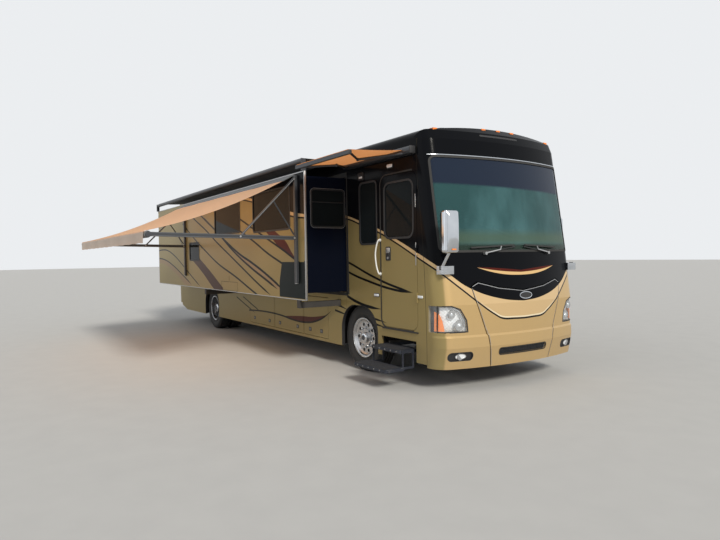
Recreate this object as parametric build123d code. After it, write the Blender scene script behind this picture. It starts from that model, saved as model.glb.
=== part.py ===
from build123d import *
import math
import os

# Motorhome: a twelve metre coach with a rear engine, one long room that slides out of its
# right side, a patio awning on that room, a small awning over the entry door, and two steps.
# While it is modelled, X points forward from the front axle, Y to the driver's side, and Z up
# from the ground. At the end everything shifts so that the origin is under the box's centre.
# Millimetres.

# body
HALF_WIDTH = 1284            # centre plane to the outside of a side wall
WALL = 36                    # side wall, roof and cap skin
REAR_SEAM = -9250            # where they meet the rear cap
SKIRT_TOP = 1062             # seam between the walls and the skirts below them
SKIRT_BOTTOM = 330
SIDE_TOP = 3240              # where a wall meets the round edge of the roof
ROOF_EDGE = 3355             # roof height where its round edge ends
ROOF_CREST = 3434
FLOOR_BOTTOM = 1064
FLOOR_TOP = 1150
FLOOR_FRONT = 1500
SEAM_GAP = 6                 # open joint round a door or hatch
CAP_RUN = 900                # how far a cap's block runs behind its highest section

# front cap: height, and how far forward its centre line stands there
NOSE_BOW = 4200              # plan radius of the face
NOSE_CORNER = 230            # plan radius of its corners
NOSE = [(292, 1985), (560, 2040), (690, 2038), (716, 2018), (1100, 2026), (1770, 1940),
        (3230, 1703), (3350, 1650), (3434, 1560)]
BROW_SEAM = 3030             # where its lower moulding meets the brow over the windshield
# its seam with the side walls, as points of X and height, and with the roof
FRONT_LINE = [(1565, 292), (1560, 780), (1510, 1800), (1400, 2850), (1400, SIDE_TOP)]
ROOF_FRONT = 1150

# rear cap: height, and how far back its centre line stands there
TAIL_BOW = 6000
TAIL_CORNER = 260
TAIL = [(495, 9700), (1300, 9740), (2600, 9700), (3300, 9640), (3434, 9540)]
TAIL_CUT_START = -8790       # where the skirt begins to rise behind the rear wheels

# wheels
WHEELBASE = 6690
TYRE_R = 506
TREAD_HALF = 112             # half the tread's width
SECTION_HALF = 137           # half the width of the bulged sidewall
RIM_R = 298                  # rim flange
WHEEL_Y = 1090               # centre plane of a front wheel or of a rear outer one
TWIN_STEP = 312              # outer to inner rear wheel
ARCH_HALF = 500              # half the width of a wheel arch
ARCH_BACK = 30               # how far the arch stands behind its axle
ARCH_TOP = 995
ARCH_ROUND = 390
HUB_R = 128
SPINDLE_R = 42
BEARING_GAP = 0.3
SEAT_GAP = 0.3               # between a fitting and the skin that it sits on
KINGPIN_Y = 900
KINGPIN_R = 24
BOSS_HALF = 75               # half height of the axle eye round the kingpin
HAND_HOLES = 10
FRONT_DISC, REAR_DISC = 84, -96   # outer face of a wheel disc, from the rim's middle

# entry door and steps
DOOR_REAR, DOOR_FRONT = 585, 1385
DOOR_BOTTOM, DOOR_TOP = 747, 2830
DOOR_CORNER = 120
HINGE_HEIGHTS = (1180, 1800, 2560)
HINGE_LEAF = 44              # height of each of a hinge's three knuckles
HINGE_Y = HALF_WIDTH + 9
HINGE_R = 9
PIN_R = 4
PIN_GAP = 0.3
STEP_REAR, STEP_FRONT = 612, 1275
LOW_STEP_REAR, LOW_STEP_FRONT = 580, 1335
STEP_TOP = 500
LOW_STEP_TOP = 285
STEP_IN, STEP_OUT = 1190, 1500          # the upper tread's inner and outer edges
LOW_STEP_IN, LOW_STEP_OUT = 1480, 1770
STEP_THICK = 45
STEP_SIDE = 12               # plate and links at each end of the treads
STEP_LINK_YS = (1290, 1458)
STEP_LINK_HALF = 13
STEP_ROUND = 24
GUIDE_IN = 760               # inner end of the bars that slide with the steps
GUIDE_RAIL_OUT = 1215        # outer end of the fixed bars over them
GUIDE_RAIL_THICK = 30
NOTCH_REAR, NOTCH_FRONT, NOTCH_TOP = 560, 1350, 605
GUIDE_XS = (650, 1230)       # the two bars that the steps hang on
GUIDE_HALF = 15
STEP_GAP = 0.4

# slide-out room
ROOM_REAR, ROOM_FRONT = -8810, -375
ROOM_BOTTOM, ROOM_TOP = 1190, 2930
ROOM_TRAVEL = 675
FASCIA_THICK = 30            # the broad outer panel
FASCIA_REST = 14             # from the panel to the wall when the room is in
ROOM_OUT = HALF_WIDTH + FASCIA_REST + FASCIA_THICK + ROOM_TRAVEL
ROOM_WALL = 45
ROOM_GAP = 12                # running gap round the room in its wall opening
ROOM_INNER = 1150            # inner end of the box when it is out
FASCIA_BOTTOM, FASCIA_TOP = 1080, 3000
FASCIA_SIDE = 25
RUNNER_XS = (-600, -5000)
RUNNER_HALF = 40
RUNNER_BOTTOM, RUNNER_TOP = 955, 1045
RUNNER_INNER = 200           # how near the centre plane the runners end when the room is out
SADDLE_GAP = 0.4

# bay doors under the floor: name, rear edge, front edge, side (-1 right, +1 left)
BAYS = [("bay_door_right_front", -1830, -950, -1),
        ("bay_door_right_middle", -3050, -1830, -1),
        ("bay_door_right_rear", -4270, -3050, -1),
        ("bay_door_left_front", -2400, -950, 1),
        ("bay_door_left_rear", -4270, -2400, 1)]
BAY_BOTTOM, BAY_TOP = 385, 1038
BAY_AXIS_Y = HALF_WIDTH - 7
BAY_AXIS_Z = 1050
BAY_BARREL_R = 6
BAY_PIN_R = 3

# patio awning
AWNING_XS = (-600, -6350)    # its two channels on the room's outer face
CHANNEL_BOTTOM, CHANNEL_TOP = 1335, 2960
ARM_ROOT_Z = 2016
ROLLER_Y, ROLLER_Z = 4180, 2060
ROLLER_R = 45
STRUT_TOP_Z = 2940
STRUT_FOOT_Y = 2914
ARM_WIDTH, ARM_DEPTH, ARM_EYE_R = 40, 58, 36
STRUT_WIDTH, STRUT_DEPTH = 32, 26
BRACE_TOP, BRACE_FOOT, BRACE_R = (-2385, 2560), (-2062, 2070), 11
CHANNEL_HALF, CHANNEL_DEPTH = 26, 46
AXLE_STUB_R = 12             # the roller's stubs in the arms' eyes
AWNING_TOP_Z = 3010
AWNING_SAG = 90
CLOTH = 6
VALANCE = 165
TOPPER_Y, TOPPER_Z = 2005, 3150
TOPPER_R = 38

# door awning
CASE_REAR, CASE_FRONT = -250, 1370
CASE_BOTTOM, CASE_TOP = 3045, 3145
CASE_OUT = 1384
LEAD_REAR, LEAD_FRONT = -200, 1250
LEAD_Y, LEAD_Z = 2200, 3010

# more of the body: the nose's openings, its lamps and its centre panel
SCREEN_HALF = 1205
SCREEN_BOTTOM, SCREEN_TOP = 1772, 2995
HATCH_GAP = 12
HATCH_AXIS_X, HATCH_AXIS_Z = 1905, 1450
HATCH_ARM_YS = (-330, 330)
HATCH_ARM_INNER, HATCH_ARM_OUTER = 225, 255   # radii of the curved arms that carry the panel
HATCH_PIN_R = 8
HATCH_LUG_STEP = 36          # from an arm to the lug on each side of it
LAMP_OUT, LAMP_IN = 1268, 905
LAMP_BOTTOM, LAMP_TOP = 756, 1092
LAMP_BACK = 1600             # how far back a lamp wraps round its corner
LAMP_GAP = 0.8
FOG_Y, FOG_Z = 1010, 452
FOG_LONG, FOG_HIGH, FOG_ROUND = 340, 110, 50
SLOT_HALF, SLOT_BOTTOM, SLOT_TOP = 440, 440, 520
MARKER_YS = (-1060, -270, 0, 270, 1060)
MARKER_HALF, MARKER_TALL = 34, 30

# mirrors: foot on the nose's corner, arm and head; the left one is folded back
MIRROR_Z = (1750, 2270)
MIRROR_HEAD_X, MIRROR_DEPTH = 1955, 104
MIRROR_Y, MIRROR_WIDE = 1268, 224
MIRROR_ROUND = 38
MIRROR_FOOT = (1745, 1874, 1092, 1264, 1490, 1592)
MIRROR_ARM = (1815, 1244, 1560)         # where the arm leaves the foot
MIRROR_ARM_R = 20
MIRROR_FOLD_X, MIRROR_FOLD_Y = 1330, 1312
MIRROR_PANE = 4

# the tail's engine door, and where its two hinges turn
TAIL_FACE = -9640
TAIL_LAMP_Y, TAIL_LAMP_HALF = 1090, 55
TAIL_LAMP_BOTTOM, TAIL_LAMP_TOP = 900, 1500
ENGINE_DOOR = (-760, 760, 560, 1420)
ENGINE_AXIS_X, ENGINE_AXIS_Z = -9754, 1427
ENGINE_HINGE_YS = (-280, 280)

# windows: rear edge, front edge, bottom, top, corner radius
RIGHT_WINDOWS = [(30, 475, 1905, 2800, 70)]
LEFT_WINDOWS = [(650, 1330, 1830, 2800, 70), (-1500, -300, 2000, 2750, 70),
                (-4300, -2900, 2000, 2750, 70), (-7800, -6900, 2000, 2750, 70)]
ROOM_WINDOWS = [(-4320, -2930, 2200, 2850, 60), (-2310, -850, 2170, 2830, 60),
                (-6080, -5380, 1690, 2080, 40)]
END_WINDOW = (1310, 1880, 2180, 2740, 50)
DOOR_WINDOW = (660, 1310, 1970, 2730, 110)

# frame, engine and tow receiver
RAIL_Y, RAIL_W = 430, 80
RAIL_BOTTOM, RAIL_TOP = 620, 870
RAIL_REAR, RAIL_FRONT = -9560, 1780
BEAM_HALF = 25
TIE_XS = (-9500, -6000, -3500, 1700)
TIE_HALF, TIE_INSET = 40, 40
BUMPER_HALF, BUMPER_THICK, BUMPER_LOW, BUMPER_HIGH = 1000, 50, 640, 740
SADDLE_WALL, SADDLE_HALF = 20, 35
HITCH_PLATE = 40
CROSS_XS = (-8900, -7900, -7400, -5700, -4270, -3050, -2400, -1350, -730, 545, 1450)
ENGINE_REAR, ENGINE_FRONT = -9300, -8050
ENGINE_BOTTOM, ENGINE_TOP = 360, 1010
HITCH_REAR, HITCH_Z = -9840, 440
HITCH_PIN_R = 8.2
HITCH_PIN_INSET = 60
HITCH_OUTER, HITCH_INNER = 38, 26

# entry well in the floor
WELL_REAR, WELL_FRONT, WELL_IN = 600, 1372, 560
WELL_FLOOR = 735
WELL_STEP, WELL_STEP_Y = 930, 900
WELL_SKIN = 20

# cab
DASH_REAR, DASH_TOP = 1380, 1640
WHEEL_HUB, STEER_R = (1240, 640, 1620), 210
SEAT_YS, SEAT_HALF = (640, -300), 250
SEAT_LOW, SEAT_HIGH, SEAT_BACK_TOP = 1480, 1620, 2320

# roof
UNIT_XS = (-2500, -6600)
VENTS = ((-1000, 300), (-4500, 300), (-5200, -600), (-8300, 0))
DOME_X, DOME_Y, DOME_R, DOME_TOP = 880, -420, 245, 3680


def block(x0, x1, y0, y1, z0, z1):
    """A box from its limits."""
    return Pos((x0 + x1) / 2, (y0 + y1) / 2, (z0 + z1) / 2) * Box(
        abs(x1 - x0), abs(y1 - y0), abs(z1 - z0))


def side_plate(sketch, y0, y1):
    """A sketch of X and Z made a plate from y0 to y1."""
    return extrude(Plane.XZ.offset(-y0) * sketch, amount=-(y1 - y0))


def front_plate(sketch, x0, x1):
    """A sketch of Y and Z made a plate from x0 to x1."""
    return extrude(Plane.YZ.offset(x0) * sketch, amount=x1 - x0)


def round_rect(x0, x1, z0, z1, radius):
    return Pos((x0 + x1) / 2, (z0 + z1) / 2) * RectangleRounded(abs(x1 - x0), abs(z1 - z0), radius)


def rod(start, end, radius):
    """A round bar between two points."""
    a, b = Vector(*start), Vector(*end)
    plane = Plane(origin=a, z_dir=b - a)
    return extrude(plane * Circle(radius), amount=(b - a).length)


def bar(start, end, width, depth):
    """A rectangular bar between two points, its width along X."""
    a, b = Vector(*start), Vector(*end)
    plane = Plane(origin=a, x_dir=(1, 0, 0), z_dir=b - a)
    return extrude(plane * Rectangle(width, depth), amount=(b - a).length)


def mirrored(solid):
    return mirror(solid, about=Plane.XZ)


def cap_plan(reach, back, half, bow, corner, sign):
    """Plan outline of a cap: straight sides, two corner arcs and a bowed face."""
    corner_y = half - corner
    bow_x = reach - bow
    corner_x = bow_x + math.sqrt((bow - corner) ** 2 - corner_y ** 2)
    turn = math.atan2(corner_y, corner_x - bow_x)
    join = (bow_x + bow * math.cos(turn), bow * math.sin(turn))
    half_turn = (turn + math.pi / 2) / 2
    middle = (corner_x + corner * math.cos(half_turn), corner_y + corner * math.sin(half_turn))
    pts = [(back, half), (corner_x, half), middle, join, (reach, 0)]
    left = [(sign * x, y) for x, y in pts]
    right = [(x, -y) for x, y in left]
    return make_face([Line(left[0], left[1]),
                      ThreePointArc(left[1], left[2], left[3]),
                      ThreePointArc(left[3], left[4], right[3]),
                      ThreePointArc(right[3], right[2], right[1]),
                      Line(right[1], right[0]),
                      Line(right[0], left[0])])


def body_section(inset):
    """The coach's cross-section: upright sides, round roof edges and a crowned roof."""
    half = HALF_WIDTH - inset
    side, edge, crest = SIDE_TOP, ROOF_EDGE - inset, ROOF_CREST - inset
    run = 115 - inset / 2
    bend = (half - run * 0.29, side + (edge - side) * 0.72)
    left = [(half, 0), (half, side), bend, (half - run, edge)]
    right = [(-y, z) for y, z in left]
    return make_face([Line(left[0], left[1]),
                      ThreePointArc(left[1], left[2], left[3]),
                      ThreePointArc(left[3], (0, crest), right[3]),
                      ThreePointArc(right[3], right[2], right[1]),
                      Line(right[1], right[0]),
                      Line(right[0], left[0])])


def cap_solid(table, bow, corner, sign, inset):
    """A whole cap as one block, drawn in by inset and far longer than it needs behind."""
    made = Part()
    for (z0, reach0), (z1, reach1) in zip(table, table[1:]):
        plan = cap_plan(reach0 - inset, reach0 - CAP_RUN, HALF_WIDTH - inset, bow - inset,
                        corner - inset, sign)
        lean = Vector(sign * (reach1 - reach0), 0, z1 - z0)
        made += extrude(Pos(0, 0, z0) * plan, amount=lean.length, dir=lean)
    far = table[0][1]
    near, far = sorted((sign * (far - 2 * CAP_RUN), sign * (far + 300)))
    return made & front_plate(body_section(inset), near, far)


def cap_shell(table, bow, corner, sign, skin, zone):
    """The same cap hollowed to a skin and cut to the zone that its moulding covers."""
    (low, reach), *rest = table
    inner_table = [(low - 20, reach)] + rest
    hollow = cap_solid(inner_table, bow, corner, sign, skin)
    return (cap_solid(table, bow, corner, sign, 0) - hollow) & zone


def front_zone():
    """What lies ahead of the front cap's seams with the walls and the roof."""
    low, high = FRONT_LINE[0], FRONT_LINE[-1]
    edge = [(low[0], low[1] - 50)] + FRONT_LINE + [(ROOF_FRONT, SIDE_TOP), (ROOF_FRONT, 3600)]
    face = make_face(Polyline(*edge, (2400, 3600), (2400, low[1] - 50), close=True))
    return side_plate(face, -HALF_WIDTH - 10, HALF_WIDTH + 10)


def wall_zone(bottom, top, rear=REAR_SEAM):
    """A side wall's outline between two heights, from its rear edge to the front cap's seam."""
    def seam_x(z):
        for (x0, z0), (x1, z1) in zip(FRONT_LINE, FRONT_LINE[1:]):
            if z0 <= z <= z1:
                return x0 + (x1 - x0) * (z - z0) / (z1 - z0)
    edge = [(seam_x(bottom), bottom)] + [p for p in FRONT_LINE if bottom < p[1] < top]
    edge.append((seam_x(top), top))
    return make_face(Polyline(*edge, (rear, top), (rear, bottom), close=True))


def nose_x(y, z):
    """How far forward the nose's skin stands at one place."""
    low = [row for row in NOSE if row[0] <= z][-1]
    high = [row for row in NOSE if row[0] > z][0]
    reach = low[1] + (high[1] - low[1]) * (z - low[0]) / (high[0] - low[0])
    bow_x = reach - NOSE_BOW
    corner_y = HALF_WIDTH - NOSE_CORNER
    corner_x = bow_x + math.sqrt((NOSE_BOW - NOSE_CORNER) ** 2 - corner_y ** 2)
    if abs(y) <= corner_y * NOSE_BOW / (NOSE_BOW - NOSE_CORNER):
        return bow_x + math.sqrt(NOSE_BOW ** 2 - y ** 2)
    return corner_x + math.sqrt(NOSE_CORNER ** 2 - (abs(y) - corner_y) ** 2)


# openings in the skins, as sketches that the parts in them share

def door_outline(grow):
    return round_rect(DOOR_REAR - grow, DOOR_FRONT + grow, DOOR_BOTTOM - grow, DOOR_TOP + grow,
                      DOOR_CORNER + grow)


def window_sketch(row, grow):
    x0, x1, z0, z1, r = row
    return round_rect(x0 - grow, x1 + grow, z0 - grow, z1 + grow, r + grow)


def arch_outline(centre_x):
    """A wheel arch: upright sides and a round top."""
    x = centre_x - ARCH_BACK
    blank = make_face(Polyline((x - ARCH_HALF, 100), (x - ARCH_HALF, ARCH_TOP),
                               (x + ARCH_HALF, ARCH_TOP), (x + ARCH_HALF, 100), close=True))
    return fillet(blank.vertices().group_by(Axis.Y)[-1], ARCH_ROUND)


# each of these returns the solids of one node

def make_wall(side):
    """A side wall. The right one ends where the slide-out room begins."""
    rear = REAR_SEAM if side > 0 else ROOM_FRONT + ROOM_GAP
    wall = side_plate(wall_zone(SKIRT_TOP, SIDE_TOP, rear), HALF_WIDTH - WALL, HALF_WIDTH)
    cuts = [window_sketch(row, 0) for row in (RIGHT_WINDOWS if side < 0 else LEFT_WINDOWS)]
    if side < 0:
        cuts.append(door_outline(SEAM_GAP))
    for sketch in cuts:
        wall -= side_plate(sketch, HALF_WIDTH - WALL - 5, HALF_WIDTH + 5)
    if side < 0:
        wall = mirrored(wall)
        for z in HINGE_HEIGHTS:
            wall += door_hinge_fixed(z)
    return [wall]


def make_wall_strips():
    """The right wall over, under and behind the slide-out room."""
    y0, y1 = -HALF_WIDTH, -HALF_WIDTH + WALL
    front, rear = ROOM_FRONT + ROOM_GAP, ROOM_REAR - ROOM_GAP
    low, high = ROOM_BOTTOM - ROOM_GAP, ROOM_TOP + ROOM_GAP
    return [block(REAR_SEAM, front, y0, y1, high, SIDE_TOP),
            block(REAR_SEAM, front, y0, y1, SKIRT_TOP, low),
            block(REAR_SEAM, rear, y0, y1, low + SEAT_GAP, high - SEAT_GAP)]


def make_skirt(side):
    """A side's skirt. The right one has a joint ahead of the front wheel arch."""
    low, high = HALF_WIDTH - WALL, HALF_WIDTH
    skirt = side_plate(wall_zone(SKIRT_BOTTOM, SKIRT_TOP), low, high)
    for axle in (0, -WHEELBASE):
        skirt -= side_plate(arch_outline(axle), low - 5, high + 5)
    rise = make_face(Polyline((TAIL_CUT_START, SKIRT_BOTTOM - 40), (TAIL_CUT_START, SKIRT_BOTTOM),
                              (REAR_SEAM, SKIRT_BOTTOM + 110), (REAR_SEAM, SKIRT_BOTTOM - 40),
                              close=True))
    skirt -= side_plate(rise, low - 5, high + 5)
    for name, rear, front, where in BAYS:
        if where == side:
            skirt -= block(rear + 8, front - 8, low - 5, high + 5, BAY_BOTTOM - SEAM_GAP,
                           SKIRT_TOP + 5)
    if side < 0:
        skirt -= side_plate(door_outline(SEAM_GAP), low - 5, high + 5)
        skirt -= block(NOTCH_REAR, NOTCH_FRONT, low - 5, high + 5, SKIRT_BOTTOM - 20, NOTCH_TOP)
        for x in RUNNER_XS:
            skirt -= block(x - RUNNER_HALF - 8, x + RUNNER_HALF + 8, low - 5, high + 5,
                           RUNNER_BOTTOM - 8, RUNNER_TOP + 8)
        joint = ARCH_HALF - ARCH_BACK
        skirt -= block(joint - SEAT_GAP, joint, low - 5, high + 5, SKIRT_BOTTOM - 20, SKIRT_TOP + 5)
    for name, rear, front, where in BAYS:
        if where == side:
            for x, out in ((rear + 8, 1), (front - 8, -1)):
                skirt += rod((x - out, BAY_AXIS_Y, BAY_AXIS_Z), (x + out * 20, BAY_AXIS_Y, BAY_AXIS_Z),
                             BAY_PIN_R)
    return [skirt if side > 0 else mirrored(skirt)]


def make_bay_door(rear, front, side):
    low, high = HALF_WIDTH - WALL, HALF_WIDTH
    door = block(rear + 14, front - 14, low, high, BAY_BOTTOM, BAY_TOP)
    door -= block(rear + 44, front - 44, low - 5, high - 8, BAY_BOTTOM + 30, BAY_TOP - 30)
    door += rod((rear + 14, BAY_AXIS_Y, BAY_AXIS_Z), (front - 14, BAY_AXIS_Y, BAY_AXIS_Z),
                BAY_BARREL_R)
    door += block(rear + 14, front - 14, BAY_AXIS_Y - 5, BAY_AXIS_Y + 5, BAY_TOP - 5, BAY_AXIS_Z)
    door -= rod((rear, BAY_AXIS_Y, BAY_AXIS_Z), (rear + 40, BAY_AXIS_Y, BAY_AXIS_Z),
                BAY_PIN_R + PIN_GAP)
    door -= rod((front - 40, BAY_AXIS_Y, BAY_AXIS_Z), (front, BAY_AXIS_Y, BAY_AXIS_Z),
                BAY_PIN_R + PIN_GAP)
    return [door if side > 0 else mirrored(door)]


def door_hinge_fixed(z):
    """The upper and lower knuckles on the wall, with the pin between them."""
    x, y = DOOR_FRONT + SEAM_GAP / 2, -HINGE_Y
    made = rod((x, y, z - 1.5 * HINGE_LEAF), (x, y, z + 1.5 * HINGE_LEAF), PIN_R)
    for low in (z - 1.5 * HINGE_LEAF, z + 0.5 * HINGE_LEAF):
        made += rod((x, y, low), (x, y, low + HINGE_LEAF), HINGE_R)
        made += block(x, x + 30, -HALF_WIDTH - 6, -HALF_WIDTH + 3, low, low + HINGE_LEAF)
    return made


def door_hinge_moving(z):
    x, y = DOOR_FRONT + SEAM_GAP / 2, -HINGE_Y
    low, high = z - 0.5 * HINGE_LEAF + PIN_GAP, z + 0.5 * HINGE_LEAF - PIN_GAP
    made = rod((x, y, low), (x, y, high), HINGE_R)
    made += block(x - 34, x, -HALF_WIDTH - 6, -HALF_WIDTH + 3, low, high)
    return made - rod((x, y, low - 5), (x, y, high + 5), PIN_R + PIN_GAP)


def make_entry_door():
    door = side_plate(door_outline(0), -HALF_WIDTH, -HALF_WIDTH + WALL)
    door -= side_plate(window_sketch(DOOR_WINDOW, 0), -HALF_WIDTH - 5, -HALF_WIDTH + WALL + 5)
    for z in HINGE_HEIGHTS:
        door += door_hinge_moving(z)
    return [door]


def make_entry_door_glass():
    return [side_plate(window_sketch(DOOR_WINDOW, 0), -HALF_WIDTH + 10, -HALF_WIDTH + 16)]


def make_entry_steps():
    """The upper tread slides on two bars; the lower one hangs from it on links."""
    upper = block(STEP_REAR, STEP_FRONT, -STEP_OUT, -STEP_IN, STEP_TOP - STEP_THICK, STEP_TOP)
    lower = block(LOW_STEP_REAR, LOW_STEP_FRONT, -LOW_STEP_OUT, -LOW_STEP_IN,
                  LOW_STEP_TOP - STEP_THICK, LOW_STEP_TOP)
    made = Part()
    for tread in (upper, lower):
        corners = tread.edges().filter_by(Axis.Z).sort_by(Axis.Y)[:2]
        made += fillet(corners, STEP_ROUND)
    inner_link = STEP_LINK_YS[0] - STEP_LINK_HALF
    for x0 in (STEP_REAR - STEP_SIDE, STEP_FRONT):
        x1 = x0 + STEP_SIDE
        made += block(x0, x1, -LOW_STEP_IN - STEP_ROUND, -inner_link,
                      LOW_STEP_TOP - STEP_THICK + 6, LOW_STEP_TOP - 6)
        made += block(x0, x1, -STEP_OUT + STEP_ROUND, -inner_link, STEP_TOP - STEP_THICK,
                      STEP_TOP - 4)
        for y in STEP_LINK_YS:
            made += block(x0, x1, -y - STEP_LINK_HALF, -y + STEP_LINK_HALF,
                          LOW_STEP_TOP - STEP_THICK + 10, STEP_TOP - 10)
    for x in GUIDE_XS:
        made += block(x - GUIDE_HALF, x + GUIDE_HALF, -STEP_OUT + STEP_ROUND, -GUIDE_IN,
                      STEP_TOP - STEP_THICK, STEP_TOP)
    return [made]


def room_end_window(x0, x1):
    y0, y1, z0, z1, r = END_WINDOW
    outline = Pos(-(y0 + y1) / 2, (z0 + z1) / 2) * RectangleRounded(y1 - y0, z1 - z0, r)
    return front_plate(outline, x0, x1)


def make_room_face():
    """The room's outer wall, a broad panel that laps the opening all round."""
    face = block(ROOM_REAR - FASCIA_SIDE, ROOM_FRONT + FASCIA_SIDE, -ROOM_OUT,
                 -ROOM_OUT + FASCIA_THICK, FASCIA_BOTTOM, FASCIA_TOP)
    for row in ROOM_WINDOWS:
        face -= side_plate(window_sketch(row, 0), -ROOM_OUT - 5, -ROOM_OUT + FASCIA_THICK + 5)
    return [face]


def make_room_decks():
    y0, y1 = -ROOM_OUT + FASCIA_THICK, -ROOM_INNER
    return [block(ROOM_REAR, ROOM_FRONT, y0, y1, ROOM_BOTTOM, ROOM_BOTTOM + ROOM_WALL),
            block(ROOM_REAR, ROOM_FRONT, y0, y1, ROOM_TOP - ROOM_WALL, ROOM_TOP)]


def make_room_ends():
    y0, y1 = -ROOM_OUT + FASCIA_THICK, -ROOM_INNER
    low, high = ROOM_BOTTOM + ROOM_WALL, ROOM_TOP - ROOM_WALL
    front = block(ROOM_FRONT - ROOM_WALL, ROOM_FRONT, y0, y1, low, high)
    front -= room_end_window(ROOM_FRONT - ROOM_WALL - 5, ROOM_FRONT + 5)
    return [block(ROOM_REAR, ROOM_REAR + ROOM_WALL, y0, y1, low, high), front]


def make_room_glass():
    panes = [side_plate(window_sketch(row, 0), -ROOM_OUT + 8, -ROOM_OUT + 14)
             for row in ROOM_WINDOWS]
    return panes + [room_end_window(ROOM_FRONT - 16, ROOM_FRONT - 10)]


def make_runners():
    made = []
    for x in RUNNER_XS:
        runner = block(x - RUNNER_HALF, x + RUNNER_HALF, -ROOM_OUT + 5, -RUNNER_INNER,
                       RUNNER_BOTTOM, RUNNER_TOP)
        runner += block(x - RUNNER_HALF - 10, x + RUNNER_HALF + 10, -ROOM_OUT,
                        -ROOM_OUT + FASCIA_THICK, RUNNER_BOTTOM, FASCIA_BOTTOM)
        made.append(runner)
    return made


def make_roof():
    outer = front_plate(body_section(0), REAR_SEAM, ROOF_FRONT)
    inner = front_plate(body_section(WALL), REAR_SEAM - 5, ROOF_FRONT + 5)
    low = block(REAR_SEAM - 5, ROOF_FRONT + 5, -HALF_WIDTH - 5, HALF_WIDTH + 5, -5, SIDE_TOP)
    return [outer - inner - low]


def screen_outline(grow):
    return round_rect(-SCREEN_HALF - grow, SCREEN_HALF + grow, SCREEN_BOTTOM - grow,
                      SCREEN_TOP + grow, 70)


def hatch_outline(grow):
    """The nose's centre panel: a shallow V on top, sides that lean in."""
    g = grow
    left = [(0, 1250 + g), (430, 1300 + g), (740 + g, 1378 + g), (835 + g, 1325 + g),
            (790 + g, 1150), (617 + g, 690), (530 + g, 200)]
    right = [(-y, z) for y, z in reversed(left[1:])]
    return make_face(Polyline(*(left + right), close=True))


def lamp_outline(side):
    """A headlamp seen from ahead."""
    pts = [(side * (LAMP_OUT + 40), LAMP_BOTTOM), (side * LAMP_IN, LAMP_BOTTOM),
           (side * (LAMP_IN + 20), LAMP_BOTTOM + 150), (side * (LAMP_IN + 110), LAMP_TOP - 45),
           (side * (LAMP_IN + 230), LAMP_TOP), (side * (LAMP_OUT + 40), LAMP_TOP)]
    return make_face(Polyline(*pts, close=True))


def front_moulding(low, high):
    """The front cap's skin between two heights."""
    shell = cap_shell(NOSE, NOSE_BOW, NOSE_CORNER, 1, WALL, front_zone())
    return shell & block(600, 2400, -HALF_WIDTH - 10, HALF_WIDTH + 10, low, high)


def fog_outline(side, shrink):
    long, high = FOG_LONG - shrink, FOG_HIGH - shrink
    return Pos(side * FOG_Y, FOG_Z) * RectangleRounded(long, high, FOG_ROUND)


def make_front_cap():
    cap = front_moulding(0, BROW_SEAM)
    cap -= front_plate(screen_outline(0), 1350, 2200)
    cap -= front_plate(hatch_outline(HATCH_GAP), 1800, 2200)
    for side in (-1, 1):
        cap -= front_plate(lamp_outline(side), LAMP_BACK, 2200)
        cap -= front_plate(fog_outline(side, 0), LAMP_BACK, 2200)
    for y in HATCH_ARM_YS:
        for mid in (y - HATCH_LUG_STEP, y + HATCH_LUG_STEP):
            cap += block(HATCH_AXIS_X - 20, nose_x(mid, HATCH_AXIS_Z) - 10, mid - 10, mid + 10,
                         HATCH_AXIS_Z - 20, HATCH_AXIS_Z + 60)
        cap += rod((HATCH_AXIS_X, y - 40, HATCH_AXIS_Z), (HATCH_AXIS_X, y + 40, HATCH_AXIS_Z),
                   HATCH_PIN_R)
    return [cap]


def make_front_brow():
    return [front_moulding(BROW_SEAM, ROOF_CREST + 50)]


def make_hatch():
    shell = cap_shell(NOSE, NOSE_BOW, NOSE_CORNER, 1, 20, front_zone())
    hatch = shell & front_plate(hatch_outline(0), 1700, 2200)
    slot = Pos(0, (SLOT_BOTTOM + SLOT_TOP) / 2) * RectangleRounded(2 * SLOT_HALF,
                                                                   SLOT_TOP - SLOT_BOTTOM, 30)
    hatch -= front_plate(slot, 1700, 2200)
    centre = (HATCH_AXIS_X, HATCH_AXIS_Z)
    start, sweep = 175, 122
    ring = make_face([
        CenterArc(centre, HATCH_ARM_OUTER, start, sweep),
        CenterArc(centre, HATCH_ARM_INNER, start, sweep),
        *[Line(Vector(*centre) + Vector(HATCH_ARM_INNER, 0).rotate(Axis.Z, a),
               Vector(*centre) + Vector(HATCH_ARM_OUTER, 0).rotate(Axis.Z, a))
          for a in (start, start + sweep)]])
    for y in HATCH_ARM_YS:
        arm = side_plate(ring, y - 15, y + 15)
        arm += block(HATCH_AXIS_X - HATCH_ARM_OUTER + 5, HATCH_AXIS_X + 16, y - 15, y + 15,
                     HATCH_AXIS_Z - 16, HATCH_AXIS_Z + 16)
        arm -= rod((HATCH_AXIS_X, y - 30, HATCH_AXIS_Z), (HATCH_AXIS_X, y + 30, HATCH_AXIS_Z),
                   HATCH_PIN_R + PIN_GAP)
        hatch += arm - cap_outside(20)
    return [hatch]


def cap_outside(skin):
    """Everything ahead of the nose's inner face."""
    inner = cap_solid(NOSE, NOSE_BOW, NOSE_CORNER, 1, skin - 4)
    return block(1600, 2300, -1200, 1200, 300, 1800) - inner


def make_screen():
    outer = cap_solid(NOSE, NOSE_BOW, NOSE_CORNER, 1, 6)
    inner = cap_solid(NOSE, NOSE_BOW, NOSE_CORNER, 1, 16)
    return [(outer - inner) & front_plate(screen_outline(-SEAT_GAP), 1350, 2200)]


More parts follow.
